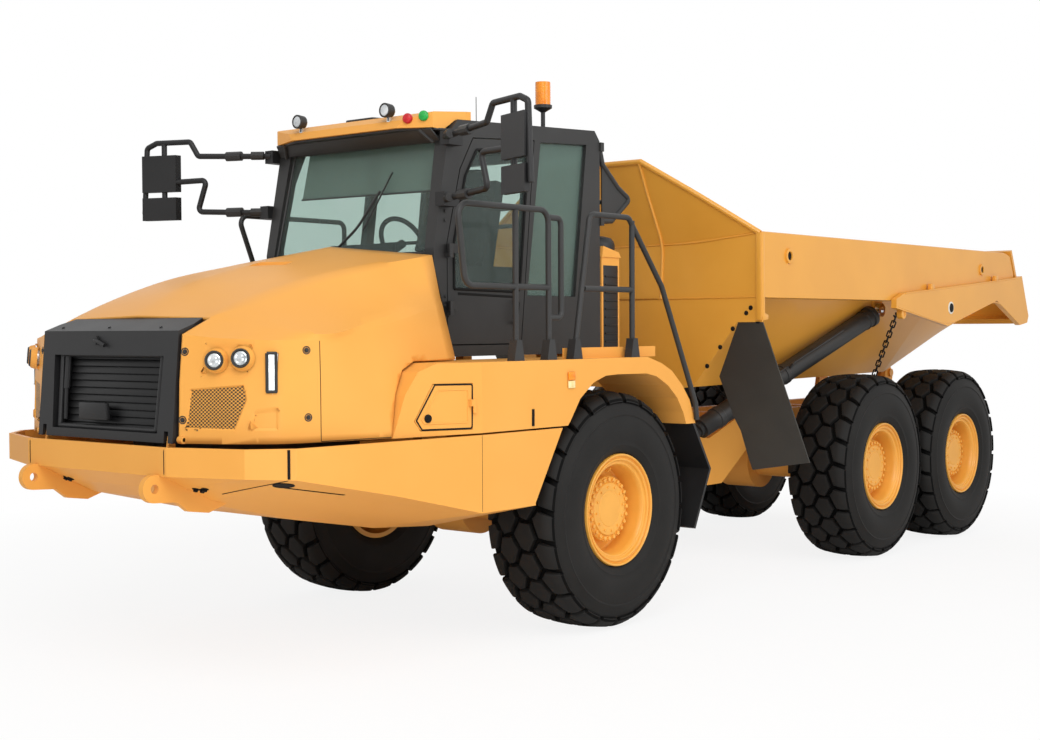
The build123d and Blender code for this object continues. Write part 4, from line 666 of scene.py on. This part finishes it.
def cushion(name, low, high, lean):
    """A crowned cushion between two corners, leaning back by an angle."""
    mesh = bmesh.new()
    middle = (low + high) / 2
    block = Matrix.Translation(middle) @ Matrix.Diagonal((*(high - low), 1))
    bmesh.ops.create_cube(mesh, size=1, matrix=block)
    bmesh.ops.subdivide_edges(mesh, edges=mesh.edges[:], cuts=5, use_grid_fill=True)
    half = (high - low) / 2
    for v in mesh.verts:
        x, y, z = ((v.co[i] - middle[i]) / half[i] for i in range(3))
        # The sides pull in between the corners, and the faces crown
        v.co.x = middle.x + half.x * x * (1 - 0.1 * (abs(y) ** 4 + abs(z) ** 4))
        v.co.y = middle.y + half.y * y * (1 - 0.08 * (abs(x) ** 4 + abs(z) ** 4))
        v.co.z = middle.z + half.z * z * (1 - 0.12 * (abs(x) ** 4 + abs(y) ** 4))
    bmesh.ops.smooth_vert(mesh, verts=mesh.verts[:], factor=0.5, use_axis_x=True, use_axis_y=True,
                          use_axis_z=True)
    turn = Matrix.Translation((middle.x, 0, low.z)) @ Matrix.Rotation(lean, 4, "Y") @ Matrix.Translation(
        (-middle.x, 0, -low.z))
    bmesh.ops.transform(mesh, matrix=turn, verts=mesh.verts[:])
    piece = show(name, mesh, "front_frame", "seat_fabric", cloth)
    soft = piece.modifiers.new("soft", "SUBSURF")
    soft.levels = soft.render_levels = 2


cushion("seat_cushion", mm(-40, -240, 2385), mm(430, 240, 2500), 0.0)
cushion("seat_back", mm(-60, -225, 2470), mm(70, 225, 3040), -0.14)
cushion("head_rest", mm(-140, -130, 3060), mm(-50, 130, 3210), -0.1)
controls = bmesh.new()
plate(controls, [(1090, -360, 2500), (1090, 360, 2500), (1010, 300, 2590), (1010, -300, 2590)], 0.05, 0.015)
plate(controls, [(850, 330, 2560), (850, 560, 2560), (800, 545, 2740), (800, 345, 2740)], 0.03, 0.01)
add_run(controls, [(820, 450, 2450), (822, 450, 2570)], 0.018)
show("controls", controls, "front_frame", "trim_plastic", plastic)

# ----------------------------------------------------------
# Mirrors, stack and beacon.
# Black tubes carry moulded mirror heads with flat glass; the air cleaner has a black door and a
# rain cap; the beacon is a ribbed amber lens on a stalk.

mirror_faces = bmesh.new()
for z0, z1 in ((3060, 3295), (2852, 2993)):
    plate(mirror_faces, [(1352, 1553, z0), (1352, 1553, z1), (1449, 1790, z1), (1449, 1790, z0)], 0.006,
          0.002)
mirror_left(mirror_faces)
# Mirror glass, silvered on the back
silvered = finish("silvered glass", "#C9D2D6", "#B7C1C6", 0.3, 0.02, 0.0001, (0.03, 0.06), metal=1.0)
show("mirror_glass", mirror_faces, "front_frame", "lamp_glass", silvered)
mirror_trim = bmesh.new()
for x, y, z in ((1218, 1105, 3282), (1225, 1095, 2882)):
    add_run(mirror_trim, [(x - 22, y - 55, z), (x + 22, y + 55, z)], 0.034, 0.1)
for x, y, z in ((1165, 890, 3276), (1172, 890, 2875)):
    add_run(mirror_trim, [(x - 26, y - 14, z), (x + 26, y + 60, z)], 0.03, 0.1)
mirror_left(mirror_trim)
show("mirror_clamps", mirror_trim, "front_frame", "black_paint", black)
stack = bmesh.new()
plate(stack, [(-640, 803, 1900), (-640, 803, 2500), (-820, 803, 2500), (-820, 803, 1900)], 0.006, 0.003)
for z in range(1940, 2480, 60):
    add_run(stack, [(-655, 806, z), (-805, 806, z)], 0.006)
place = Matrix.Translation(mm(-730, 680, 2600))
turned(stack, [(0.115, 0.0), (0.128, 0.01), (0.13, 0.05), (0.122, 0.08), (0.1, 0.105), (0.05, 0.118),
               (0.0001, 0.12)],
       place, 36)
show("stack_door", stack, "front_frame", "black_paint", plastic)
BEACON_PLACE = (-317, 500, 3655)
BEACON_RIBS, RIB_PITCH = 8, 0.018
beacon = bmesh.new()
place = Matrix.Translation(mm(*BEACON_PLACE))
ribs = [(0.0555, 0.0)]
for i in range(BEACON_RIBS):
    ribs += [(0.0562, 0.006 + i * RIB_PITCH), (0.0545, 0.015 + i * RIB_PITCH)]
turned(beacon, ribs + [(0.05, 0.158), (0.038, 0.168), (0.0001, 0.17)], place, 40)
show("beacon_lens", beacon, "front_frame", "beacon_amber", amber)
beacon_base = bmesh.new()
turned(beacon_base, [(0.0125, -0.05), (0.045, -0.03), (0.066, -0.018), (0.0665, 0.004), (0.0575, 0.006)],
       place, 40)
add_run(beacon_base, [(-317, 500, 3462), (-317, 500, 3612)], 0.0165)
add_run(beacon_base, [(-317, 500, 3530), (-340, 470, 3500), (-390, 440, 3470)], 0.006)
show("beacon_base", beacon_base, "front_frame", "black_paint", black)

# ----------------------------------------------------------
# Load body.
# Welded wear plate under a satin yellow coat: a rolled lip on the front wall and side rails, a
# stiff corner post, a folded gusset up the wall, lifting eyes and the bolts that hold the flap.

# The bed's thicker coat on wear plate, a little less glossy, with the plate's faint waviness; a darker,
# more orange yellow than the cab's, which paints the shade on the bed
bed_yellow_shaded = finish("yellow plate paint, shaded", "#E9A63F", "#E29F39", 0.7, 0.012, 0.0003, (0.36, 0.44), coat=0.15)

# Lifting eyes of the side rail: place, radius of the ring and of the hole
LIFT_EYES = ((-2256, 2599, 0.06, 0.035), (-6070, 2590, 0.055, 0.032))
RAIL_FACE_Y = 1431
# Turns what stands along Z to face the truck's left
TO_LEFT = Matrix.Rotation(-math.pi / 2, 4, "X")

bed = bmesh.new()
for s in (-1, 1):
    add_run(bed, [(-1606, s * 458, 3362), (-1725, s * 935, 3070), (-1842, s * 1412, 2764)], 0.022)
add_run(bed, [(-1606, -462, 3358), (-1606, 462, 3358)], 0.022)
half_bed = bmesh.new()
add_run(half_bed, [(-1850, 1414, 2762), (-6660, 1414, 2762), (-6790, 1414, 2736)], 0.016, 0.05)
plate(half_bed, [(-1832, 1436, 2130), (-1832, 1436, 2766), (-1872, 1436, 2766), (-1878, 1436, 2150),
                 (-1930, 1436, 2135), (-1930, 1436, 2098), (-1850, 1436, 2090)], 0.02, 0.005)
plate(half_bed, [(-1828, 1388, 2766), (-1828, 1436, 2766), (-1828, 1436, 2095), (-1828, 1388, 2095)][::-1],
      0.012,
      0.005)
add_run(half_bed, [(-1598, 452, 3352), (-1700, 470, 3090), (-1836, 520, 2700), (-1836, 500, 2272)], 0.011)
for line in ([(-1836, -470, 2272), (-1836, 0, 2272), (-1836, 1400, 2272)],
             [(-1836, 0, 2702), (-1836, 800, 2706), (-1836, 1400, 2766)]):
    add_run(half_bed, line, 0.005)
for x, z, radius, _ in LIFT_EYES:
    place = Matrix.Translation(mm(x, RAIL_FACE_Y, z)) @ TO_LEFT
    turned(half_bed, [(radius, -0.002), (radius, 0.012), (radius * 0.86, 0.014), (radius * 0.6, 0.012),
                      (radius * 0.58, 0.002)], place, 28)
mirror_left(half_bed)
show("body_lip", bed, "load_body", "bed_paint", bed_yellow_shaded)
show("body_posts", half_bed, "load_body", "bed_paint", bed_yellow_shaded)
dark = bmesh.new()
# The lifting eyes' holes are flat black discs: painted shade in the holes. The flap's bolts follow.
for x, z, _, radius in LIFT_EYES:
    place = Matrix.Translation(mm(x, RAIL_FACE_Y, z)) @ TO_LEFT
    turned(dark, [(radius, 0.001), (0.0001, 0.002)], place, 24)
wall_tree = surface(nodes["dump_body"])
for x, y, z in ((-1836, 1330, 2190), (-1836, 1290, 2150), (-1836, 1180, 2020), (-1836, 1060, 1880),
                (-1836, 940, 1730), (-1836, 1392, 2040)):
    bolt(dark, seat_on(wall_tree, mm(x, y, z)), 0.026, 0.012)
mirror_left(dark)
show("body_bolts_and_eye_shade", dark, "load_body", "black_paint", rubber_and_gap_shade)

# ----------------------------------------------------------
# Tailgate.
# Cut plate arms with a boss and a pale-ringed pin at the pivot, two small stops on the top edge
# and the lug for the chain.

GATE_STOPS = ((-4831, 2372), (-6339, 2480))
arms, rings, caps = bmesh.new(), bmesh.new(), bmesh.new()
pivot = Matrix.Translation(mm(-5210, 1487, 2210)) @ TO_LEFT
turned(rings, [(0.058, -0.002), (0.058, 0.007), (0.044, 0.009), (0.042, 0.004)], pivot, 32)
turned(caps, [(0.043, 0.003), (0.04, 0.013), (0.0001, 0.014)], pivot, 32)
for x, z in GATE_STOPS:
    plate(arms, [(x + 40, 1484, z), (x - 40, 1484, z), (x - 30, 1484, z + 55), (x + 30, 1484, z + 55)][::-1],
          0.04, 0.006)
add_run(arms, [(-4240, 1485, 2330), (-6815, 1485, 2518)], 0.007)
add_run(arms, [(-4100, 1485, 2212), (-5160, 1485, 2046), (-6323, 1485, 2294), (-6930, 1485, 2050)], 0.006)
lug = Matrix.Translation(mm(-4250, 1440, 2150)) @ TO_LEFT
turned(arms, [(0.046, -0.02), (0.046, 0.028), (0.04, 0.032), (0.02, 0.032), (0.02, 0.02)], lug, 28)
for part in (arms, rings, caps):
    mirror_left(part)
# Turned steel ring, bright zinc
zinc = finish("zinc plated steel", "#E9E6DC", "#D8D4C8", 0.05, 0.003, 0.0002, (0.3, 0.4))
show("gate_stops", arms, "gate", "bed_paint", bed_yellow_shaded)
show("gate_pivot_rings", rings, "gate", "bed_paint", zinc)
show("gate_pivot_caps", caps, "gate", "black_paint", rubber_and_gap_shade)

# ----------------------------------------------------------
# Tailgate chains.
# Welded links of round bar in blackened steel, each turned by a quarter from the last, between a
# shackle on the gate's lug and an eye round the frame's pin.

# Blackened chain steel
chain_black = finish("blackened steel", "#1C1B1A", "#161514", 0.05, 0.002, 0.0002, (0.4, 0.55), metal=0.4)
CHAIN_LOW, CHAIN_HIGH = mm(-5050, 600, 1100), mm(-4250, 1400, 2150)
CHAIN_COUNT = 22
# Radius of a link's bar, half of its width inside, and what the shackle and the eye take of the run
LINK_BAR, LINK_REACH, SHACKLE, EYE_RADIUS = 0.0065, 0.019, 0.034, 0.046
# A link's corners as shares of its half length and of its half width
LINK = ((0, 1), (0.8, 1), (1, 0.4), (1, -0.4), (0.8, -1), (-0.8, -1), (-1, -0.4), (-1, 0.4), (-0.8, 1),
        (0, 1))

chains = bmesh.new()
line = (CHAIN_HIGH - CHAIN_LOW).normalized()
across = line.cross(Vector((0, 1, 0))).normalized()
first, last = CHAIN_LOW + line * EYE_RADIUS, CHAIN_HIGH - line * SHACKLE
pitch = (last - first).length / CHAIN_COUNT
for i in range(CHAIN_COUNT):
    middle = first + line * (pitch * (i + 0.5))
    wide = across if i % 2 else line.cross(across)
    half = pitch / 2 + LINK_BAR
    corners = [middle + line * (half * a) + wide * (LINK_REACH * b) for a, b in LINK]
    add_run(chains, corners, LINK_BAR, 0.4)
foot = Matrix.Translation(CHAIN_LOW) @ TO_LEFT
turned(chains, [(0.0205, -0.026), (0.036, -0.026), (0.044, -0.018), (0.044, 0.018), (0.036, 0.026),
                (0.0205, 0.026), (0.0205, -0.026)], foot, 32)
pin = CHAIN_HIGH + Vector((0, -0.02, 0))
bow = CHAIN_HIGH - line * SHACKLE
add_run(chains, [pin + across * 0.024, bow + across * 0.012, CHAIN_HIGH - line * 0.04, bow - across * 0.012,
                 pin - across * 0.024], 0.008, 0.45)
mirror_left(chains)
chain_piece = show("chain_links", chains, "gate_chains", "chain_steel", chain_black)
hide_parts("tailgate_chains")

# ----------------------------------------------------------
# Hoist cylinders.
# Black barrels of drawn tube with welded collars, a bleed screw and a hard pipe along each, and a
# ground rod in hard chrome.

# Hard chrome on the rods, ground and polished
chrome = finish("hard chrome", "#D4D6D8", "#C8CACC", 0.2, 0.002, 0.00003, (0.1, 0.16), metal=1.0)

# The frame's pin and the rod's eye, left, in drawn millimetres, and the collars along the barrel:
# distance from the pin in millimetres, radius and width in metres
PIN, EYE = Vector((-2150, 600, 1170)), Vector((-4400, 1165, 2190))
COLLARS = ((2380, 0.096, 0.05), (2290, 0.09, 0.02), (1150, 0.092, 0.045), (300, 0.092, 0.06))
BARREL_RADIUS, COLLAR_ROUND, BLEED_SCREW = 0.084, 0.004, 1150
axis = (EYE - PIN).normalized()
lean = axis.to_track_quat("Z", "Y").to_matrix().to_4x4()
for side, s in (("left", 1), ("right", -1)):
    collars = bmesh.new()
    for reach, radius, width in COLLARS:
        place = Matrix.Translation(mm(*(PIN + axis * reach))) @ lean
        half = [(BARREL_RADIUS, width / 2), (radius - COLLAR_ROUND, width / 2),
                (radius, width / 2 - COLLAR_ROUND)]
        turned(collars, [(r, -z) for r, z in half] + half[::-1], place, 40)
    spot = PIN + axis * BLEED_SCREW
    add_run(collars, [(spot.x, spot.y + 70, spot.z + 50), (spot.x, spot.y + 100, spot.z + 96)], 0.012)
    # Hard pipe along the barrel
    add_run(collars, [mm(*(PIN + axis * reach + Vector((0, 60, 72)))) for reach in (420, 1900)], 0.011)
    if s < 0:
        bmesh.ops.scale(collars, vec=(1, -1, 1), verts=collars.verts[:])
    show(f"hoist_collars_{side}", collars, f"hoist_barrel_body_{side}", "black_paint", black)

# ----------------------------------------------------------
# Tyres.
# Rock tread: two rows of six-sided centre blocks along a zig-zag groove, and shoulder blocks
# that run over the edge. Vulcanised rubber on a smooth carcass with faint moulding rings.

# Tyre rubber: matt charcoal with a dusty bloom in patches
rubber = finish("tyre rubber", "#1E1D1C", "#171615", 0.25, 0.004, 0.0006, (0.6, 0.72), spec=0.22)
# Near-black on the groove floors: painted shade deep in the grooves
groove_shade_black = finish("painted groove shade", "#060606", "#040404", 0.2, 0.004, 0.0005, (0.7, 0.8), spec=0.1)

TYRE_RADIUS = 0.8085
PITCHES = 24
GROOVE_DEPTH = 0.037
# Radius and half width of the flat crown, and radius of the shoulder
CROWN = (1.5, 0.215)
SHOULDER_ARC = 0.072
# The grooves: least and greatest radius of their floor, and half their width over the tread
TREAD_FROM, FLOOR_RADIUS, TREAD_HALF = 0.72, TYRE_RADIUS - GROOVE_DEPTH + 0.002, 0.285
# How far below the groove floor a block starts, and the rounding of its top edge
BLOCK_ROOT, BLOCK_ROUND = 0.004, 0.004
# From the middle of the tyre to the outer edge of the rim
RIM_REACH = 0.2648


def over_tread(along_tread, across, height):
    """A point of the flat tread, in metres, bent over the crown and shoulder and round the wheel."""
    crown_radius, crown_half = CROWN
    t = abs(across)
    edge = crown_half / crown_radius
    if t <= crown_half:
        angle = t / crown_radius
        y, r = crown_radius * math.sin(angle), crown_radius * (math.cos(angle) - 1)
    else:
        angle = edge + (t - crown_half) / SHOULDER_ARC
        y = crown_radius * math.sin(edge) + SHOULDER_ARC * (math.sin(angle) - math.sin(edge))
        r = crown_radius * (math.cos(edge) - 1) - SHOULDER_ARC * (math.cos(edge) - math.cos(angle))
        height *= max(0.3, 1 - 0.65 * (angle - edge))
    y += height * math.sin(angle)
    r += TYRE_RADIUS - GROOVE_DEPTH + height * math.cos(angle)
    turn = along_tread / (TYRE_RADIUS - GROOVE_DEPTH)
    return Vector((r * math.sin(turn), math.copysign(y, across), r * math.cos(turn)))


def tread_block(outline, pitch, groove):
    """One block: an outline of (share of the pitch, distance across), inset by half the groove,
    raised with a rounded top edge and cut into strips so that it can bend."""
    mesh = bmesh.new()
    face = mesh.faces.new([mesh.verts.new((a * pitch, b, -BLOCK_ROOT)) for a, b in outline])
    mesh.normal_update()
    bmesh.ops.inset_region(mesh, faces=[face], thickness=groove / 2, use_boundary=True, use_even_offset=True)
    bmesh.ops.delete(mesh, geom=[f for f in mesh.faces if f != face], context="FACES")
    if face.normal.z < 0:
        bmesh.ops.reverse_faces(mesh, faces=[face])
    raised = bmesh.ops.extrude_face_region(mesh, geom=[face])["geom"]
    lifted = [g for g in raised if isinstance(g, bmesh.types.BMVert)]
    bmesh.ops.translate(mesh, vec=(0, 0, GROOVE_DEPTH + BLOCK_ROOT), verts=lifted)
    top = [g for g in raised if isinstance(g, bmesh.types.BMFace)]
    centre = top[0].calc_center_median()
    bmesh.ops.scale(mesh, vec=(0.985, 0.985, 1), space=Matrix.Translation(-centre), verts=list(top[0].verts))
    bmesh.ops.bevel(mesh, geom=list(top[0].edges), affect="EDGES", offset=BLOCK_ROUND, segments=2, profile=0.5,
                    material=-1)
    for side, step in ((0, pitch / 8), (1, 0.022)):
        low = min(v.co[side] for v in mesh.verts)
        high = max(v.co[side] for v in mesh.verts)
        at = low + step / 2
        normal = Vector((1, 0, 0)) if side == 0 else Vector((0, 1, 0))
        while at < high:
            bmesh.ops.bisect_plane(mesh, geom=mesh.verts[:] + mesh.edges[:] + mesh.faces[:],
                                   plane_co=normal * at, plane_no=normal, dist=1e-5)
            at += step
    return mesh


def tyre_mesh():
    """A tyre about Y at the origin."""
    pitch = 2 * math.pi * (TYRE_RADIUS - GROOVE_DEPTH) / PITCHES
    centre_block = [(0, 0.03), (0.46, -0.03), (1, 0.03), (1.1, 0.1), (0.62, 0.165), (0.05, 0.125)]
    shoulder = [(0.62, 0.165), (1.1, 0.1), (1.05, 0.125), (1.62, 0.165), (1.66, 0.2), (1.84, 0.296),
                (0.84, 0.296), (0.66, 0.2)]
    whole = bmesh.new()
    for outline, groove in ((centre_block, 0.032), (shoulder, 0.038)):
        for side in (1, -1):
            shift = 0 if side == 1 else 0.5
            block = tread_block([(a + shift, b * side) for a, b in outline], pitch, groove)
            flat = as_mesh("block", block)
            for turn in range(PITCHES):
                first = len(whole.verts)
                whole.from_mesh(flat)
                whole.verts.ensure_lookup_table()
                for v in whole.verts[first:]:
                    v.co = over_tread(v.co.x + turn * pitch, v.co.y, v.co.z)
            bpy.data.meshes.remove(flat)
    # The carcass: the groove floor over the crown and shoulder, then the sidewall down to the bead
    half = [over_tread(0, t, 0) for t in (0.0001, 0.05, 0.1, 0.15, 0.2, 0.215, 0.235, 0.255, 0.275, 0.295)]
    half = [(p.y, p.z) for p in half]
    half += [(0.2835, 0.655), (0.2895, 0.648), (0.2895, 0.642), (0.2865, 0.636), (0.2935, 0.6), (0.2975, 0.565),
             (0.2975, 0.53), (0.2945, 0.5), (0.289, 0.47), (0.2825, 0.445), (0.2835, 0.441), (0.2805, 0.436),
             (0.272, 0.415), (0.262, 0.4), (0.254, 0.3885), (0.244, 0.3815)]
    profile = [(-y, z) for y, z in reversed(half)] + half
    chain = [whole.verts.new((0, y, z)) for y, z in profile]
    edges = [whole.edges.new(pair) for pair in zip(chain, chain[1:])]
    bmesh.ops.spin(whole, geom=chain + edges, cent=(0, 0, 0), axis=(0, 1, 0), angle=2 * math.pi, steps=128,
                   use_merge=True)
    face_out(whole)
    # What lies on the groove floor, out to the sidewall, gets the painted groove shade
    for f in whole.faces:
        middle = f.calc_center_median()
        reach = math.hypot(middle.x, middle.z)
        if TREAD_FROM < reach < FLOOR_RADIUS and abs(middle.y) < TREAD_HALF and abs(f.normal.y) < 0.93:
            expected = over_tread(0, min(abs(middle.y), 0.25), 0).z
            if reach < expected + 0.004:
                f.material_index = 1
    return as_mesh("tyre", whole)


def each_wheel():
    """(name, matrix) of the six wheels, the right-hand ones mirrored by a half turn."""
    for axle in ("front", "mid", "rear"):
        for side, turn in (("left", 0), ("right", math.pi)):
            low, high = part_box(f"rim_{axle}_{side}")
            middle = (low + high) / 2
            centre = high.y - RIM_REACH if side == "left" else low.y + RIM_REACH
            place = Matrix.Translation((middle.x, centre, middle.z)) @ Matrix.Rotation(turn, 4, "Z")
            yield f"{axle}_{side}", place


tyre_pattern = tyre_mesh()
for wheel, place in each_wheel():
    mesh = tyre_pattern.copy()
    mesh.transform(place)
    tyre = show(f"tread_{wheel}", mesh, f"wheel_{wheel}", "tyre_rubber", rubber, groove_shade_black)
    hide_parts(f"tyre_{wheel}")

# ----------------------------------------------------------
# Rims.
# A five-piece steel rim: rolled outer flange, lock ring in its groove, a deep dish, and the cast
# hub of the planetary drive with its ring of bolts and a flat cap.

# Cast and rolled steel under the same yellow, a little rougher from the casting
rim_yellow = finish("yellow cast paint", "#F0AE48", "#E8A641", 0.3, 0.004, 0.0002, (0.36, 0.46), coat=0.1)

# Rings of bolts: count, radius, distance along the axle, first angle, width and height of a head
HUB_BOLTS = ((24, 0.2025, 0.159, 0.0, 0.03, 0.02), (12, 0.15, 0.175, 0.13, 0.016, 0.009))
RIM_PROFILE = [
    (0.347, -0.25), (0.381, -0.25), (0.381, 0.262), (0.379, 0.2665), (0.374, 0.269), (0.368, 0.2665),
    (0.364, 0.26), (0.363, 0.25), (0.358, 0.246), (0.352, 0.249), (0.348, 0.257), (0.341, 0.2585),
    (0.335, 0.253), (0.331, 0.24), (0.325, 0.2345), (0.316, 0.2365), (0.311, 0.2345), (0.303, 0.221),
    (0.299, 0.2), (0.2935, 0.12), (0.289, 0.08), (0.28, 0.072), (0.232, 0.072), (0.226, 0.076), (0.224, 0.15),
    (0.219, 0.158), (0.184, 0.1605), (0.182, 0.1625), (0.1785, 0.172), (0.176, 0.1745), (0.124, 0.1765),
    (0.121, 0.175), (0.118, 0.1775), (0.1, 0.179), (0.0001, 0.179),
]


def circle_of(count, radius, y, start):
    """Places on a circle about Y, facing +Y."""
    for i in range(count):
        angle = start + 2 * math.pi * i / count
        yield Matrix.Translation((radius * math.sin(angle), y, radius * math.cos(angle))) @ TO_LEFT


rim_mesh = bmesh.new()
turned(rim_mesh, RIM_PROFILE, TO_LEFT, 96)
face_out(rim_mesh)
rim_pattern = as_mesh("rim", rim_mesh)
bolts = bmesh.new()
for count, radius, y, start, across, height in HUB_BOLTS:
    for place in circle_of(count, radius, y, start):
        bolt(bolts, place, across, height)
# Valve stem across the dish
add_run(bolts, [Vector((0.05, 0.1, 0.285)), Vector((0.05, 0.2, 0.262)), Vector((0.055, 0.225, 0.285))], 0.006)
bolts_pattern = as_mesh("hub_bolts", bolts)
for wheel, place in each_wheel():
    mesh = rim_pattern.copy()
    mesh.transform(place)
    rim = show(f"turned_rim_{wheel}", mesh, f"wheel_{wheel}", "rim_paint", rim_yellow)
    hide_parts(f"rim_{wheel}")
    mesh = bolts_pattern.copy()
    mesh.transform(place)
    show(f"hub_bolts_{wheel}", mesh, f"wheel_{wheel}", "rim_paint", rim_yellow)

# ----------------------------------------------------------
# Plate work from the CAD model.
# Each piece gets the finish of its material slot. Folded and cut plate has small rounded edges
# that catch the light, so plate pieces get a narrow bevel without any change of their shape.

# Flap rubber, pressed sheet, greyer than the tyres
flap_rubber = finish("sheet rubber", "#43423E", "#3B3A37", 0.5, 0.004, 0.0003, (0.55, 0.65), spec=0.35)
# Cast iron of the engine block under primer grey
iron = finish("cast iron", "#4A4A48", "#40403F", 0.2, 0.003, 0.0006, (0.55, 0.7), metal=0.3)

SLOT_FINISH = {
    "yellow_paint": yellow, "bed_paint": bed_yellow_shaded, "black_paint": black, "rim_paint": rim_yellow,
    "grille_black": plastic, "trim_plastic": plastic, "tyre_rubber": rubber, "flap_rubber": flap_rubber,
    "chrome_rod": chrome, "chain_steel": chain_black, "engine_iron": iron, "seat_fabric": cloth,
    "window_glass": window, "lamp_glass": lens, "beacon_amber": amber,
}
for row in frame["record"]["subparts"]:
    wear(nodes[row["node"]], SLOT_FINISH[row["material_slot"]])

# Widths of the rounded edges in metres, by the least angle between faces, in degrees
EDGE_WIDTHS = {
    28: {"bumper_skirts": 0.004, "fenders": 0.006, "roof_cap": 0.012, "dump_body": 0.004, "tailgate": 0.004,
         "cab_shell": 0.008, "cab_door": 0.005, "grille_frame": 0.008, "mudguards": 0.003,
         "body_flaps": 0.003, "locker_door": 0.003, "intake_stack": 0.012},
    60: {"mirrors": 0.014, "handrails": 0.006},
}
for angle, widths in EDGE_WIDTHS.items():
    for name, width in widths.items():
        edge = nodes[name].modifiers.new("plate edge", "BEVEL")
        edge.width = width
        edge.segments = 2
        edge.limit_method = "ANGLE"
        edge.angle_limit = math.radians(angle)
        edge.harden_normals = True
        smooth(nodes[name], angle)

# ----------------------------------------------------------
# Studio.
# A pale seamless floor, a white backdrop, and large soft boxes above, beside and low in front of
# the truck.

floor_mesh = bmesh.new()
bmesh.ops.create_grid(floor_mesh, x_segments=1, y_segments=1, size=200)
floor = placed("floor", as_mesh("floor", floor_mesh))
# Seamless studio paper: matt white, lit to the backdrop's white away from the truck
paper, tree, shader, place = begin("studio paper")
fibres = add(tree, "ShaderNodeTexNoise", [("Vector", place, "Object")], Scale=3.0, Detail=4.0)
ramp = add(tree, "ShaderNodeValToRGB", [("Fac", fibres, "Fac")])
ramp.color_ramp.elements[0].color = linear("#F4F4F4")
ramp.color_ramp.elements[1].color = linear("#FAFAFA")
tree.links.new(ramp.outputs["Color"], shader.inputs["Base Color"])
shader.inputs["Roughness"].default_value = 0.9
glow = add(tree, "ShaderNodeEmission", Color=linear("#FFFFFF"), Strength=1.0)
rays = add(tree, "ShaderNodeLightPath")
distance = add(tree, "ShaderNodeVectorMath", [(0, place, "Object")], operation="LENGTH")
fade = add(tree, "ShaderNodeMapRange", [("Value", distance, "Value")], From_Min=4.0, From_Max=8.0,
           To_Min=0.86,
           To_Max=1.0)
share = add(tree, "ShaderNodeMath", [(0, rays, "Is Camera Ray"), (1, fade, "Result")], operation="MULTIPLY")
both = add(tree, "ShaderNodeMixShader", [("Fac", share, "Value"), (1, shader, "BSDF"), (2, glow, "Emission")])
tree.links.new(both.outputs["Shader"], tree.nodes["Material Output"].inputs["Surface"])
wear(floor, paper)

world = bpy.data.worlds.new("studio")
bpy.context.scene.world = world
world.use_nodes = True
tree = world.node_tree
seen = add(tree, "ShaderNodeBackground", Color=linear("#FFFFFF"), Strength=1.0)
lighting = add(tree, "ShaderNodeBackground", Color=linear("#FBF9F6"), Strength=0.55)
rays = add(tree, "ShaderNodeLightPath")
two = add(tree, "ShaderNodeMath", [(0, rays, "Is Camera Ray"), (1, rays, "Is Glossy Ray")], operation="ADD")
three = add(tree, "ShaderNodeMath", [(0, two, "Value"), (1, rays, "Is Transmission Ray")], operation="ADD",
            use_clamp=True)
both = add(tree, "ShaderNodeMixShader", [("Fac", three, "Value"), (1, lighting, "Background"),
                                         (2, seen, "Background")])
tree.links.new(both.outputs["Shader"], tree.nodes["World Output"].inputs["Surface"])


def soft_box(name, place, target, size, power):
    """A square area light that faces the target."""
    data = bpy.data.lights.new(name, "AREA")
    data.shape = "SQUARE"
    data.size = size
    data.energy = power
    light = placed(name, data)
    light.location = place
    light.rotation_euler = (Vector(target) - Vector(place)).to_track_quat("-Z", "Y").to_euler()


soft_box("key", (9.0, 6.5, 9.0), (1.5, 0.5, 1.5), 7.0, 590)
soft_box("side", (0.0, 12.0, 6.0), (-1.5, 0.0, 1.5), 7.0, 420)
soft_box("low front", (10.5, 7.0, 0.6), (2.5, 0.8, 1.2), 4.0, 170)

# ----------------------------------------------------------
# Camera.
# A long standard lens at chest height, in front and to the left of the truck.

CAMERA_PLACE = (10.2595, 7.357, 2.046)
# Turn from the x axis, rise of the view and tilt of the camera, in degrees; lens in millimetres
CAMERA_ANGLES = (219.329, -1.604, -0.307)
CAMERA_LENS = 52.357
yaw, pitch, roll = (math.radians(a) for a in CAMERA_ANGLES)
forward = Vector((math.cos(pitch) * math.cos(yaw), math.cos(pitch) * math.sin(yaw), math.sin(pitch)))
right = forward.cross(Vector((0, 0, 1))).normalized()
up = right.cross(forward)
turned_right = math.cos(roll) * right + math.sin(roll) * up
turned_up = -math.sin(roll) * right + math.cos(roll) * up
camera_data = bpy.data.cameras.new("camera")
camera_data.sensor_width = 36.0
camera_data.sensor_fit = "HORIZONTAL"
camera_data.lens = CAMERA_LENS
camera = placed("camera", camera_data)
facing = Matrix((turned_right, turned_up, -forward)).transposed().to_4x4()
camera.matrix_world = Matrix.Translation(CAMERA_PLACE) @ facing
bpy.context.scene.camera = camera
bpy.context.scene.view_settings.view_transform = "Standard"
